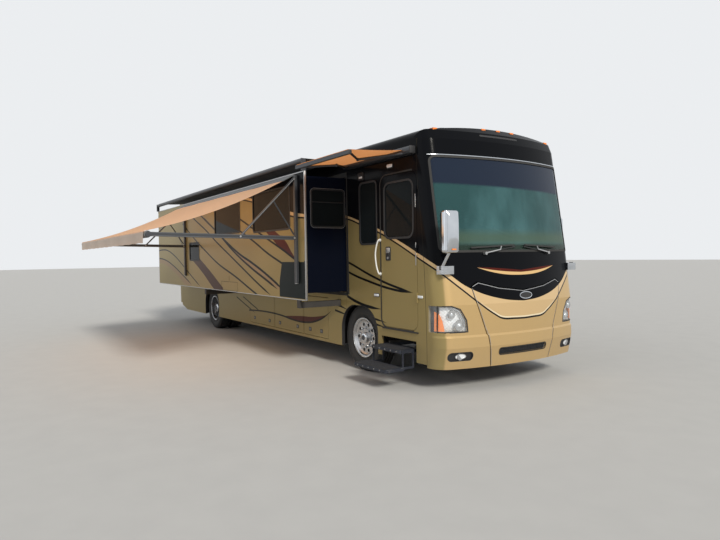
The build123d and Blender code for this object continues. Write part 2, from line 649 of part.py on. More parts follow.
def make_headlamps():
    outer = cap_solid(NOSE, NOSE_BOW, NOSE_CORNER, 1, 4)
    inner = cap_solid(NOSE, NOSE_BOW, NOSE_CORNER, 1, WALL + 30)
    made = []
    for side in (-1, 1):
        zone = front_plate(offset(lamp_outline(side), -LAMP_GAP), LAMP_BACK + LAMP_GAP, 2200)
        made.append((outer - inner) & zone)
    return made


def make_small_lamps():
    """Fog lamps and markers on the nose, and the two tail lamps."""
    made = []
    plate = cap_solid(NOSE, NOSE_BOW, NOSE_CORNER, 1, 22) - cap_solid(NOSE, NOSE_BOW, NOSE_CORNER, 1, 34)
    x = nose_x(FOG_Y, FOG_Z)
    for side in (-1, 1):
        made.append((plate & front_plate(fog_outline(side, 1), LAMP_BACK, 2200))
                    + rod((x - 40, side * FOG_Y, FOG_Z), (x - 12, side * FOG_Y, FOG_Z), 44))
    clear = nose_clear()
    for y in MARKER_YS:
        z = ROOF_CREST - (ROOF_CREST - ROOF_EDGE) * (y / HALF_WIDTH) ** 2 - 22
        x = nose_x(y, z)
        lamp = block(x - 70, x + 2, y - MARKER_HALF, y + MARKER_HALF, z - 12, z - 12 + MARKER_TALL)
        made.append(lamp - clear)
    for side in (-1, 1):
        y = side * TAIL_LAMP_Y
        made.append(block(TAIL_FACE - 14, TAIL_FACE + 60, y - TAIL_LAMP_HALF, y + TAIL_LAMP_HALF,
                          TAIL_LAMP_BOTTOM, TAIL_LAMP_TOP))
    return made


def rear_zone():
    return block(REAR_SEAM - 700, REAR_SEAM, -HALF_WIDTH - 10, HALF_WIDTH + 10, 300, 3600)


def make_rear_cap():
    cap = cap_shell(TAIL, TAIL_BOW, TAIL_CORNER, -1, WALL, rear_zone())
    y0, y1, z0, z1 = ENGINE_DOOR
    cap -= block(-9900, REAR_SEAM - 60, y0 - SEAM_GAP, y1 + SEAM_GAP, z0 - SEAM_GAP, z1 + SEAM_GAP + 8)
    for side in (-1, 1):
        y = side * TAIL_LAMP_Y
        low, high = y - TAIL_LAMP_HALF, y + TAIL_LAMP_HALF
        cap -= block(-9900, TAIL_FACE + 80, low, high, TAIL_LAMP_BOTTOM, TAIL_LAMP_TOP)
        cap += block(TAIL_FACE + 60, TAIL_FACE + 80, low - 20, high + 20, TAIL_LAMP_BOTTOM - 20,
                     TAIL_LAMP_TOP + 20)
    for y in ENGINE_HINGE_YS:
        cap += engine_hinge_fixed(y)
    return [cap]


def engine_hinge_fixed(y):
    """The two outer knuckles of one hinge over the engine door, with its pin."""
    at = (ENGINE_AXIS_X, ENGINE_AXIS_Z)
    made = rod((at[0], y - 60, at[1]), (at[0], y + 60, at[1]), PIN_R)
    for low in (y - 60, y + 20):
        made += rod((at[0], low, at[1]), (at[0], low + 40, at[1]), HINGE_R)
        made += block(at[0] + 2, at[0] + 30, low, low + 40, at[1] + 1, at[1] + 26)
    return made


def engine_hinge_moving(y):
    at = (ENGINE_AXIS_X, ENGINE_AXIS_Z)
    low, high = y - 20 + PIN_GAP, y + 20 - PIN_GAP
    made = rod((at[0], low, at[1]), (at[0], high, at[1]), HINGE_R)
    made += block(at[0] + 2, at[0] + 30, low, high, at[1] - 26, at[1] - 1)
    return made - rod((at[0], low - 5, at[1]), (at[0], high + 5, at[1]), PIN_R + PIN_GAP)


def make_engine_door():
    shell = cap_shell(TAIL, TAIL_BOW, TAIL_CORNER, -1, 24, rear_zone())
    y0, y1, z0, z1 = ENGINE_DOOR
    door = shell & block(-9900, REAR_SEAM - 60, y0, y1, z0, z1)
    for y in ENGINE_HINGE_YS:
        door += engine_hinge_moving(y)
    for k in range(7):
        z = z0 + 200 + k * 70
        door -= block(-9900, REAR_SEAM - 60, -480, 480, z, z + 34)
    return [door]


def make_floor():
    """Three panels: behind the entry well, beside it and ahead of it."""
    half = HALF_WIDTH - WALL
    return [block(REAR_SEAM + 10, WELL_REAR, -half, half, FLOOR_BOTTOM, FLOOR_TOP),
            block(WELL_REAR + SEAT_GAP, WELL_FRONT - SEAT_GAP, -WELL_IN, half, FLOOR_BOTTOM, FLOOR_TOP),
            block(WELL_FRONT, FLOOR_FRONT, -half, half, FLOOR_BOTTOM, FLOOR_TOP)]


def make_entry_well():
    """Six panels under the floor: two sides, two treads and the riser behind each tread."""
    half, t = HALF_WIDTH - WALL, WELL_SKIN
    low, end = WELL_FLOOR - t, -WELL_IN + t
    x0, x1 = WELL_REAR + SEAT_GAP, WELL_FRONT - SEAT_GAP
    step = -WELL_STEP_Y
    return [block(WELL_REAR - t, WELL_REAR, -half, end, low, FLOOR_BOTTOM),
            block(WELL_FRONT, WELL_FRONT + t, -half, end, low, FLOOR_BOTTOM),
            block(x0, x1, -half, step, low, WELL_FLOOR),
            block(x0, x1, step + SEAT_GAP, step + t, low, WELL_STEP - t - SEAT_GAP),
            block(x0, x1, step, end, WELL_STEP - t, WELL_STEP),
            block(x0, x1, -WELL_IN, end, WELL_STEP + SEAT_GAP, FLOOR_BOTTOM)]


def make_rails():
    return [block(RAIL_REAR, RAIL_FRONT, y - RAIL_W / 2, y + RAIL_W / 2, RAIL_BOTTOM, RAIL_TOP)
            for y in (-RAIL_Y, RAIL_Y)]


def make_beams():
    """Cross beams on the rails, open over the engine, and ties between the rails."""
    wide = HALF_WIDTH - WALL
    inner = RAIL_Y - RAIL_W / 2
    made = []
    for x in CROSS_XS:
        over_engine = ENGINE_REAR < x < ENGINE_FRONT
        spans = ((-wide, -inner), (inner, wide)) if over_engine else ((-wide, wide),)
        for y0, y1 in spans:
            made.append(block(x - BEAM_HALF, x + BEAM_HALF, y0, y1, RAIL_TOP, FLOOR_BOTTOM))
    for x in TIE_XS:
        made.append(block(x - TIE_HALF, x + TIE_HALF, -inner, inner, RAIL_BOTTOM + TIE_INSET,
                          RAIL_TOP - TIE_INSET))
    return made


def make_brackets():
    """What the rails carry: runner saddles, step bars, bumper beam and hitch member."""
    made = []
    for x in RUNNER_XS:
        half = RUNNER_HALF + SADDLE_GAP
        for y in (-RAIL_Y, RAIL_Y):
            saddle = block(x - half - SADDLE_WALL, x + half + SADDLE_WALL, y - SADDLE_HALF,
                           y + SADDLE_HALF, RAIL_TOP, RUNNER_TOP + 8)
            saddle -= block(x - half, x + half, y - SADDLE_HALF - 5, y + SADDLE_HALF + 5,
                            RUNNER_BOTTOM - SADDLE_GAP, RUNNER_TOP + 20)
            made.append(saddle)
    for x in GUIDE_XS:
        low = STEP_TOP + STEP_GAP
        bars = block(x - GUIDE_HALF, x + GUIDE_HALF, -GUIDE_RAIL_OUT, -RAIL_Y, low,
                     low + GUIDE_RAIL_THICK)
        bars += block(x - GUIDE_HALF, x + GUIDE_HALF, -RAIL_Y - RAIL_W / 2, -RAIL_Y,
                      low, RAIL_BOTTOM)
        made.append(bars)
    made.append(block(RAIL_FRONT, RAIL_FRONT + BUMPER_THICK, -BUMPER_HALF, BUMPER_HALF,
                      BUMPER_LOW, BUMPER_HIGH))
    reach = RAIL_Y + RAIL_W / 2
    made.append(block(RAIL_REAR - HITCH_PLATE, RAIL_REAR, -reach, reach, HITCH_Z - HITCH_OUTER,
                      RAIL_TOP))
    return made


def make_receiver():
    wide, hole = HITCH_OUTER, HITCH_INNER
    front = RAIL_REAR - HITCH_PLATE
    tube = block(HITCH_REAR, front, -wide, wide, HITCH_Z - wide, HITCH_Z + wide)
    tube -= block(HITCH_REAR - 10, front - 10, -hole, hole, HITCH_Z - hole, HITCH_Z + hole)
    pin_x = HITCH_REAR + HITCH_PIN_INSET
    tube -= rod((pin_x, -60, HITCH_Z), (pin_x, 60, HITCH_Z), HITCH_PIN_R)
    return [tube]


def make_engine():
    half = RAIL_Y - RAIL_W / 2
    return [block(ENGINE_REAR, ENGINE_FRONT, -half, half, ENGINE_BOTTOM, ENGINE_TOP)]


def make_front_axle():
    beam = block(-45, 45, -KINGPIN_Y, KINGPIN_Y, TYRE_R - 70, TYRE_R + 10)
    beam += block(-60, 60, -RAIL_Y - 60, -RAIL_Y + 60, TYRE_R, RAIL_BOTTOM)
    beam += block(-60, 60, RAIL_Y - 60, RAIL_Y + 60, TYRE_R, RAIL_BOTTOM)
    for side in (-1, 1):
        y = side * KINGPIN_Y
        beam += rod((0, y, TYRE_R - BOSS_HALF), (0, y, TYRE_R + BOSS_HALF), 55)
    for side in (-1, 1):
        y = side * KINGPIN_Y
        beam -= rod((0, y, TYRE_R - 200), (0, y, TYRE_R + 200), KINGPIN_R + BEARING_GAP)
    return [beam]


def make_knuckle(side):
    y = side * KINGPIN_Y
    web = side * (KINGPIN_Y + 66)
    made = rod((0, y, TYRE_R - BOSS_HALF - 40), (0, y, TYRE_R + BOSS_HALF + 40), KINGPIN_R)
    for low in (TYRE_R - BOSS_HALF - 40, TYRE_R + BOSS_HALF + BEARING_GAP):
        high = low + 40 - BEARING_GAP
        made += rod((0, y, low), (0, y, high), 50)
        made += block(-50, 50, min(y, web), max(y, web), low, high)
    made += block(-60, 60, web, web + side * 26, TYRE_R - BOSS_HALF - 40, TYRE_R + BOSS_HALF + 40)
    made += rod((0, web, TYRE_R), (0, side * (WHEEL_Y + 60), TYRE_R), SPINDLE_R)
    return [made]


def tyre_profile():
    """Half section of a tyre, drawn as distance along the axle and radius."""
    w, t, crown = SECTION_HALF, TREAD_HALF, TYRE_R
    bead, inner = RIM_R - 12, RIM_R + 20
    return make_face([
        Line((-95, bead), (-118, bead + 18)),
        ThreePointArc((-118, bead + 18), (-w, bead + 105), (-t - 8, crown - 22)),
        ThreePointArc((-t - 8, crown - 22), (-t + 4, crown - 8), (-t + 20, crown - 4)),
        ThreePointArc((-t + 20, crown - 4), (0, crown), (t - 20, crown - 4)),
        ThreePointArc((t - 20, crown - 4), (t - 4, crown - 8), (t + 8, crown - 22)),
        ThreePointArc((t + 8, crown - 22), (w, bead + 105), (118, bead + 18)),
        Line((118, bead + 18), (95, bead)),
        Line((95, bead), (60, inner)),
        ThreePointArc((60, inner), (0, inner + 30), (-60, inner)),
        Line((-60, inner), (-95, bead))])


def spun(face, centre_x, centre_y):
    """A section of (along the axle, radius) turned about a wheel's axle."""
    turned = revolve(Plane((0, 0, 0), x_dir=(0, 1, 0), z_dir=(1, 0, 0)) * face, axis=Axis.Y,
                     revolution_arc=360)
    return Pos(centre_x, centre_y, TYRE_R) * turned


def rim_profile(disc_out, side):
    """Rim barrel with its wheel disc, the disc's outer face at disc_out."""
    s = side
    pts = [(s * 130, RIM_R), (s * 112, RIM_R), (s * 104, RIM_R - 14), (s * 60, RIM_R - 16),
           (s * 40, RIM_R - 34), (-s * 60, RIM_R - 34), (-s * 80, RIM_R - 16),
           (-s * 112, RIM_R - 14), (-s * 118, RIM_R), (-s * 128, RIM_R), (-s * 122, RIM_R - 26),
           (-s * 60, RIM_R - 46), (s * (disc_out - 26), RIM_R - 46), (s * (disc_out - 26), 60),
           (s * disc_out, 60), (s * disc_out, RIM_R - 64), (s * (disc_out + 14), RIM_R - 40),
           (s * 122, RIM_R - 24)]
    return make_face(Polyline(*pts, close=True))


def make_front_rim(side):
    y = side * WHEEL_Y
    rim = spun(rim_profile(FRONT_DISC, side), 0, y)
    hub = rod((0, y + side * -60, TYRE_R), (0, y + side * 100, TYRE_R), HUB_R)
    hub += rod((0, y + side * 90, TYRE_R), (0, y + side * 128, TYRE_R), 78)
    rim += hub
    rim -= rod((0, y - side * 100, TYRE_R), (0, y + side * 60 + side * 0.5, TYRE_R),
               SPINDLE_R + BEARING_GAP)
    for k in range(HAND_HOLES):
        a = 360 / HAND_HOLES * k
        cut = Pos(0, y, TYRE_R) * Rot(0, a, 0) * (
            Pos(RIM_R - 98, side * 70, 0) * Rot(90, 0, 0) * Cylinder(30, 90))
        rim -= cut
    return [rim]


def make_tyre(centre_x, centre_y):
    return spun(tyre_profile(), centre_x, centre_y)


def make_rear_rims(side):
    outer, inner = side * WHEEL_Y, side * (WHEEL_Y - TWIN_STEP)
    rims = spun(rim_profile(REAR_DISC, side), -WHEELBASE, outer)
    rims += spun(rim_profile(REAR_DISC, -side), -WHEELBASE, inner)
    low, high = inner + side * 60, outer - side * 20
    hub = rod((-WHEELBASE, low, TYRE_R), (-WHEELBASE, high, TYRE_R), 175)
    hub += rod((-WHEELBASE, high - side * 5, TYRE_R), (-WHEELBASE, outer + side * 80, TYRE_R), 95)
    rims += hub
    rims -= rod((-WHEELBASE, inner - side * 10, TYRE_R), (-WHEELBASE, outer, TYRE_R),
                SPINDLE_R + BEARING_GAP)
    return [rims]


def make_rear_axle():
    reach = WHEEL_Y - 1
    made = rod((-WHEELBASE, -reach, TYRE_R), (-WHEELBASE, reach, TYRE_R), SPINDLE_R)
    made += rod((-WHEELBASE, -560, TYRE_R), (-WHEELBASE, 560, TYRE_R), 75)
    made += Pos(-WHEELBASE, 0, TYRE_R) * Sphere(190)
    for side in (-1, 1):
        y = side * RAIL_Y
        made += block(-WHEELBASE - 70, -WHEELBASE + 70, y - 60, y + 60, TYRE_R, RAIL_BOTTOM)
    return [made]


def nose_clear():
    """The nose's own space, a hair larger all round."""
    return cap_solid(NOSE, NOSE_BOW, NOSE_CORNER, 1, -SEAT_GAP)


def mirror_box(side, grow):
    """A mirror head's limits: out on its arm on the right, folded back on the left."""
    z0, z1 = MIRROR_Z
    if side < 0:
        half = MIRROR_WIDE / 2
        return (MIRROR_HEAD_X, MIRROR_HEAD_X + MIRROR_DEPTH, -MIRROR_Y - half + grow,
                -MIRROR_Y + half - grow, z0 + grow, z1 - grow)
    return (MIRROR_FOLD_X + grow, MIRROR_FOLD_X + MIRROR_WIDE - grow, MIRROR_FOLD_Y,
            MIRROR_FOLD_Y + MIRROR_DEPTH, z0 + grow, z1 - grow)


def make_mirrors():
    """Each mirror's foot on the corner of the nose, its arm and its head."""
    made = []
    x0, x1, y0, y1, z0, z1 = MIRROR_FOOT
    arm_x, arm_y, arm_z = MIRROR_ARM
    for side in (-1, 1):
        box = mirror_box(side, 0)
        head = fillet(block(*box).edges(), MIRROR_ROUND)
        foot = block(x0, x1, side * y0, side * y1, z0, z1) - nose_clear()
        start = (arm_x, side * arm_y, arm_z)
        end = ((box[0] + box[1]) / 2, (box[2] + box[3]) / 2, MIRROR_Z[0] + 30)
        if side > 0:
            elbow = (MIRROR_FOLD_X + MIRROR_WIDE, MIRROR_FOLD_Y + 32, arm_z + 40)
            foot += rod(start, elbow, MIRROR_ARM_R)
            foot += Pos(*elbow) * Sphere(MIRROR_ARM_R + 4)
            start = elbow
        made.append(head + rod(start, end, MIRROR_ARM_R) + foot)
    return made


def make_mirror_glass():
    x0, x1, y0, y1, z0, z1 = mirror_box(-1, MIRROR_ROUND)
    right = block(x0 - MIRROR_PANE, x0, y0, y1, z0, z1)
    x0, x1, y0, y1, z0, z1 = mirror_box(1, MIRROR_ROUND)
    return [right, block(x0, x1, y0 - MIRROR_PANE, y0, z0, z1)]


def make_wipers():
    made = []
    for root, tip in (((-600, 1745), (-80, 1830)), ((600, 1745), (80, 1830))):
        x0, x1 = nose_x(root[0], root[1]) + 16, nose_x(tip[0], tip[1]) + 22
        arm = rod((x0, root[0], root[1]), (x1, tip[0], tip[1]), 8)
        arm += rod((x0 - 26, root[0], root[1]), (x0 + 10, root[0], root[1]), 18)
        made.append(arm - nose_clear())
    return made


def make_roof_units():
    made = []
    for x in UNIT_XS:
        unit = block(x - 420, x + 420, -340, 340, 3390, 3700)
        unit = fillet(unit.edges().filter_by(Axis.Z), 90)
        unit = fillet(unit.faces().sort_by(Axis.Z)[-1].edges(), 60)
        made.append(unit - front_plate(body_section(-SEAT_GAP), x - 500, x + 500))
    return made


def make_roof_fittings():
    dome = Pos(DOME_X, DOME_Y, 3350) * Cylinder(DOME_R, DOME_TOP - DOME_R - 3350,
                                                align=(Align.CENTER, Align.CENTER, Align.MIN))
    dome += Pos(DOME_X, DOME_Y, DOME_TOP - DOME_R) * Sphere(DOME_R, arc_size1=0)
    made = [dome - front_plate(body_section(-SEAT_GAP), DOME_X - 400, DOME_X + 400)]
    for x, y in VENTS:
        vent = block(x - 200, x + 200, y - 200, y + 200, 3380, 3520)
        vent = fillet(vent.faces().sort_by(Axis.Z)[-1].edges(), 40)
        made.append(vent - front_plate(body_section(-SEAT_GAP), x - 300, x + 300))
    return made


def make_dashboard():
    """The dash with its shelf under the windshield, and the steering wheel on its column."""
    dash = block(DASH_REAR, 1500, -480, 1150, FLOOR_TOP, DASH_TOP)
    dash += block(1440, 1640, -480, 1080, 1350, DASH_TOP)
    dash += block(1500, 1815, -760, 760, DASH_TOP - 55, DASH_TOP)
    x, y, z = WHEEL_HUB
    wheel = Pos(x, y, z) * Rot(0, -50, 0) * Torus(STEER_R, 17)
    wheel += Pos(x, y, z) * Rot(0, -50, 0) * Box(60, 2 * STEER_R, 16)
    wheel += rod((1500, y, 1400), (x, y, z), 26)
    return [dash, wheel - block(DASH_REAR - SEAT_GAP, 1600, y - 60, y + 60, 1300, 1700)]


def make_seats():
    """Driver's and passenger's seats, each a pedestal, a cushion and a back that leans."""
    made = []
    for y in SEAT_YS:
        y0, y1 = y - SEAT_HALF, y + SEAT_HALF
        cushion = block(380, 900, y0, y1, SEAT_LOW, SEAT_HIGH)
        made.append(fillet(cushion.edges().filter_by(Axis.Z), 60))
        low = SEAT_HIGH + SEAT_GAP
        lean = make_face(Polyline((390, low), (520, low), (365, SEAT_BACK_TOP),
                                  (240, SEAT_BACK_TOP), close=True))
        back = side_plate(lean, y0, y1)
        made.append(fillet(back.edges().filter_by(Axis.Y).group_by(Axis.Z)[-1], 45))
        made.append(block(460, 760, y - 150, y + 150, FLOOR_TOP, SEAT_LOW - SEAT_GAP))
    return made


def make_awning_frame():
    """Two channels with an arm, a strut and its brace each, and the topper's end plates."""
    made = []
    for x in AWNING_XS:
        frame = block(x - CHANNEL_HALF, x + CHANNEL_HALF, -ROOM_OUT - CHANNEL_DEPTH, -ROOM_OUT,
                      CHANNEL_BOTTOM, CHANNEL_TOP)
        root = (x, -ROOM_OUT - 20, ARM_ROOT_Z)
        tip = (x, -ROLLER_Y, ROLLER_Z)
        half = ARM_WIDTH / 2
        frame += bar(root, tip, ARM_WIDTH, ARM_DEPTH)
        frame += rod((x - half, -ROLLER_Y, ROLLER_Z), (x + half, -ROLLER_Y, ROLLER_Z), ARM_EYE_R)
        frame += bar((x, -ROOM_OUT - 20, STRUT_TOP_Z), (x, -STRUT_FOOT_Y, ARM_ROOT_Z + 20),
                     STRUT_WIDTH, STRUT_DEPTH)
        frame += rod((x, *BRACE_TOP), (x, *BRACE_FOOT), BRACE_R)
        frame -= rod((x - 60, -ROLLER_Y, ROLLER_Z), (x + 60, -ROLLER_Y, ROLLER_Z),
                     AXLE_STUB_R + PIN_GAP)
        made.append(frame)
    for near, far in ((ROOM_FRONT, ROOM_FRONT + FASCIA_SIDE), (ROOM_REAR - FASCIA_SIDE, ROOM_REAR)):
        made.append(block(near, far, -TOPPER_Y - TOPPER_R, -ROOM_OUT + FASCIA_THICK, FASCIA_TOP,
                          TOPPER_Z + TOPPER_R - 5))
    return made


def make_rollers():
    front, rear = AWNING_XS[0] - 30, AWNING_XS[1] + 30
    patio = rod((front, -ROLLER_Y, ROLLER_Z), (rear, -ROLLER_Y, ROLLER_Z), ROLLER_R)
    patio += rod((front + 55, -ROLLER_Y, ROLLER_Z), (rear - 55, -ROLLER_Y, ROLLER_Z), AXLE_STUB_R)
    front, rear = ROOM_FRONT, ROOM_REAR
    topper = rod((front, -TOPPER_Y, TOPPER_Z), (rear, -TOPPER_Y, TOPPER_Z), TOPPER_R)
    return [patio, topper]


def sagging_sheet(start, end, sag, x0, x1, thick):
    """Cloth between two lines along X, hanging in one shallow arc."""
    (y0, z0), (y1, z1) = start, end
    mid = ((y0 + y1) / 2, (z0 + z1) / 2 - sag)
    top = ThreePointArc((y0, z0), mid, (y1, z1))
    low = ThreePointArc((y0, z0 - thick), (mid[0], mid[1] - thick), (y1, z1 - thick))
    face = make_face([top, Line((y1, z1), (y1, z1 - thick)), low, Line((y0, z0 - thick), (y0, z0))])
    return front_plate(face, x0, x1)


def make_awning_cloth():
    x0, x1 = AWNING_XS[1] + 60, AWNING_XS[0] - 60
    cloth = sagging_sheet((-ROOM_OUT, AWNING_TOP_Z - 30), (-ROLLER_Y, ROLLER_Z + ROLLER_R + CLOTH + 0.3),
                          AWNING_SAG, x0, x1, CLOTH)
    cloth += block(x0, x1, -ROOM_OUT - 14, -ROOM_OUT, AWNING_TOP_Z - 45, AWNING_TOP_Z - 15)
    front = -ROLLER_Y - ROLLER_R - 0.5
    cloth += block(x0, x1, front - CLOTH, -ROLLER_Y, ROLLER_Z + ROLLER_R + 0.3,
                   ROLLER_Z + ROLLER_R + CLOTH)
    cloth += block(x0, x1, front - CLOTH, front, ROLLER_Z + ROLLER_R + CLOTH - VALANCE,
                   ROLLER_Z + ROLLER_R + CLOTH)
    return [cloth]


def make_topper_cloth():
    start = (-HALF_WIDTH - 0.4, SIDE_TOP - 20)
    end = (-TOPPER_Y, TOPPER_Z + TOPPER_R + CLOTH + 0.3)
    return [sagging_sheet(start, end, 12, ROOM_REAR + 40, ROOM_FRONT - 40, CLOTH)]


def make_door_awning():
    case = block(CASE_REAR, CASE_FRONT, -CASE_OUT, -HALF_WIDTH, CASE_BOTTOM, CASE_TOP)
    case = fillet(case.edges().filter_by(Axis.X).sort_by(Axis.Y)[:2], 40)
    lead = block(LEAD_REAR, LEAD_FRONT, -LEAD_Y - 20, -LEAD_Y + 20, LEAD_Z - 25, LEAD_Z + 25)
    made = case + lead
    for sign, x in ((-1, LEAD_FRONT - 20), (1, LEAD_REAR + 20)):
        elbow = (x + sign * 430, -LEAD_Y + 400, LEAD_Z)
        made += rod((x, -CASE_OUT + 40, CASE_BOTTOM + 20), elbow, 18)
        made += rod(elbow, (x, -LEAD_Y, LEAD_Z), 16)
        made += Pos(*elbow) * Sphere(24)
    return [made]


def make_door_awning_cloth():
    start = (-CASE_OUT - SEAT_GAP, CASE_TOP - 44)
    end = (-LEAD_Y - 18, LEAD_Z + 25 + CLOTH + SEAT_GAP)
    return [sagging_sheet(start, end, 8, LEAD_REAR + 20, LEAD_FRONT - 20, CLOTH)]


def make_side_glass():
    made = [mirrored(side_plate(window_sketch(row, 0), HALF_WIDTH - 16, HALF_WIDTH - 10))
            for row in RIGHT_WINDOWS]
    made += [side_plate(window_sketch(row, 0), HALF_WIDTH - 16, HALF_WIDTH - 10)
             for row in LEFT_WINDOWS]
    return made


NODES = {
    "chassis_frame": make_rails(),
    "chassis_beams": make_beams(),
    "chassis_brackets": make_brackets(),
    "front_axle": make_front_axle(),
    "rear_axle": make_rear_axle(),
    "engine_block": make_engine(),
    "tow_receiver": make_receiver(),
    "house_floor": make_floor(),
    "entry_well": make_entry_well(),
    "wall_right": make_wall(-1),
    "wall_right_strips": make_wall_strips(),
    "wall_left": make_wall(1),
    "skirt_right": make_skirt(-1),
    "skirt_left": make_skirt(1),
    "roof": make_roof(),
    "front_cap": make_front_cap(),
    "front_brow": make_front_brow(),
    "rear_cap": make_rear_cap(),
    "windshield": make_screen(),
    "side_glass": make_side_glass(),
    "headlamps": make_headlamps(),
    "small_lamps": make_small_lamps(),
    "mirror_housings": make_mirrors(),
    "mirror_glass": make_mirror_glass(),
    "wipers": make_wipers(),
    "roof_units": make_roof_units(),
    "roof_fittings": make_roof_fittings(),
    "dashboard": make_dashboard(),
    "cab_seats": make_seats(),
    "door_awning": make_door_awning(),
    "door_awning_cloth": make_door_awning_cloth(),
    "knuckle_right": make_knuckle(-1),
    "knuckle_left": make_knuckle(1),
    "front_tyre_right": [make_tyre(0, -WHEEL_Y)],
    "front_tyre_left": [make_tyre(0, WHEEL_Y)],
    "front_rim_right": make_front_rim(-1),
    "front_rim_left": make_front_rim(1),
    "rear_tyres_right": [make_tyre(-WHEELBASE, -WHEEL_Y), make_tyre(-WHEELBASE, -WHEEL_Y + TWIN_STEP)],
    "rear_tyres_left": [make_tyre(-WHEELBASE, WHEEL_Y), make_tyre(-WHEELBASE, WHEEL_Y - TWIN_STEP)],
    "rear_rims_right": make_rear_rims(-1),
    "rear_rims_left": make_rear_rims(1),
    "entry_door": make_entry_door(),
    "entry_door_glass": make_entry_door_glass(),
    "entry_steps": make_entry_steps(),
    "slide_room": make_room_face(),
    "slide_room_decks": make_room_decks(),
    "slide_room_ends": make_room_ends(),
    "slide_glass": make_room_glass(),
    "slide_runners": make_runners(),
    "awning_frame": make_awning_frame(),
    "awning_rollers": make_rollers(),
    "awning_cloth": make_awning_cloth(),
    "topper_cloth": make_topper_cloth(),
    "front_hatch": make_hatch(),
    "engine_door": make_engine_door(),
}
for name, rear, front, side in BAYS:
    NODES[name] = make_bay_door(rear, front, side)

limits = [solid.bounding_box() for solids in NODES.values() for solid in solids]
CENTRE_X = (min(b.min.X for b in limits) + max(b.max.X for b in limits)) / 2
CENTRE_Y = (min(b.min.Y for b in limits) + max(b.max.Y for b in limits)) / 2
SHIFT = (-CENTRE_X, -CENTRE_Y, 0)

os.makedirs("parts", exist_ok=True)
for name, solids in NODES.items():
    moved = [Pos(*SHIFT) * piece for solid in solids for piece in solid.solids()]
    export_step(Compound(children=moved) if len(moved) > 1 else moved[0], f"parts/{name}.step")
print("shift", SHIFT)
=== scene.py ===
import bmesh
import bpy
import math
from mathutils import Matrix, Vector


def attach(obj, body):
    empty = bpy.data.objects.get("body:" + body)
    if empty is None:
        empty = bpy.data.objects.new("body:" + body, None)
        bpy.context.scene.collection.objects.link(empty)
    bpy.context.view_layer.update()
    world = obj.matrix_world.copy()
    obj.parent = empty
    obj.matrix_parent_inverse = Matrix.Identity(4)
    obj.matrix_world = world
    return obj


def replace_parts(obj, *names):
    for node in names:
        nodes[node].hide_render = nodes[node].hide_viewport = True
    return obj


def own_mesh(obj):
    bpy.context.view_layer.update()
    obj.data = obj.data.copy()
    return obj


# Twelve metre motorhome with its room and awnings out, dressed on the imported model.
# Sizes are written as on the coach: metres from the front axle's middle, X forward,
# Y to the driver's side, Z up from the ground. seat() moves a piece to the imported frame.

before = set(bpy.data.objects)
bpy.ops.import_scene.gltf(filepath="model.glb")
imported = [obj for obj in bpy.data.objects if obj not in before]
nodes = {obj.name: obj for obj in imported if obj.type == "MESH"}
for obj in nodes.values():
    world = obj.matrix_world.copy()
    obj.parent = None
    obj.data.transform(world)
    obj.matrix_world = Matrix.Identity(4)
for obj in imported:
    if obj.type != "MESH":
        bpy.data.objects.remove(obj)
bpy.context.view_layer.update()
scene = bpy.context.scene

coach = {
    "axleX": 3.8905, "middleY": 1.40775,     # the coach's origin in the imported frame
    "half": 1.284,                           # centre plane to the side skin
    "roomFace": 2.003,                       # centre plane to the room's outer face
    "tyre": 0.506, "wheelbase": 6.69, "wheelY": 1.09, "twinStep": 0.312,
}
shift = Vector((coach["axleX"], coach["middleY"], 0))

# how a flat shape drawn in X and Y is stood up, its own Z pointing out of the coach
rightSide = Matrix(((1, 0, 0, 0), (0, 0, -1, 0), (0, 1, 0, 0), (0, 0, 0, 1)))
leftSide = Matrix(((-1, 0, 0, 0), (0, 0, 1, 0), (0, 1, 0, 0), (0, 0, 0, 1)))


def at(x, y, z):
    return Matrix.Translation((x, y, z))


# the nose's shape, for parts that sit on it
nose = {"bow": 4.2, "corner": 0.23,
        "reach": [(0.292, 1.985), (0.56, 2.040), (0.69, 2.038), (0.716, 2.018), (1.1, 2.026), (1.77, 1.940),
                  (3.23, 1.703), (3.35, 1.650), (3.434, 1.560)]}


def noseX(y, z):
    for (z0, r0), (z1, r1) in zip(nose["reach"], nose["reach"][1:]):
        if z <= z1:
            break
    bowX = r0 + (r1 - r0) * (z - z0) / (z1 - z0) - nose["bow"]
    cornerY = coach["half"] - nose["corner"]
    if abs(y) <= cornerY * nose["bow"] / (nose["bow"] - nose["corner"]):
        return bowX + math.sqrt(nose["bow"] ** 2 - y ** 2)
    cornerX = bowX + math.sqrt((nose["bow"] - nose["corner"]) ** 2 - cornerY ** 2)
    return cornerX + math.sqrt(nose["corner"] ** 2 - (abs(y) - cornerY) ** 2)


# shader maths

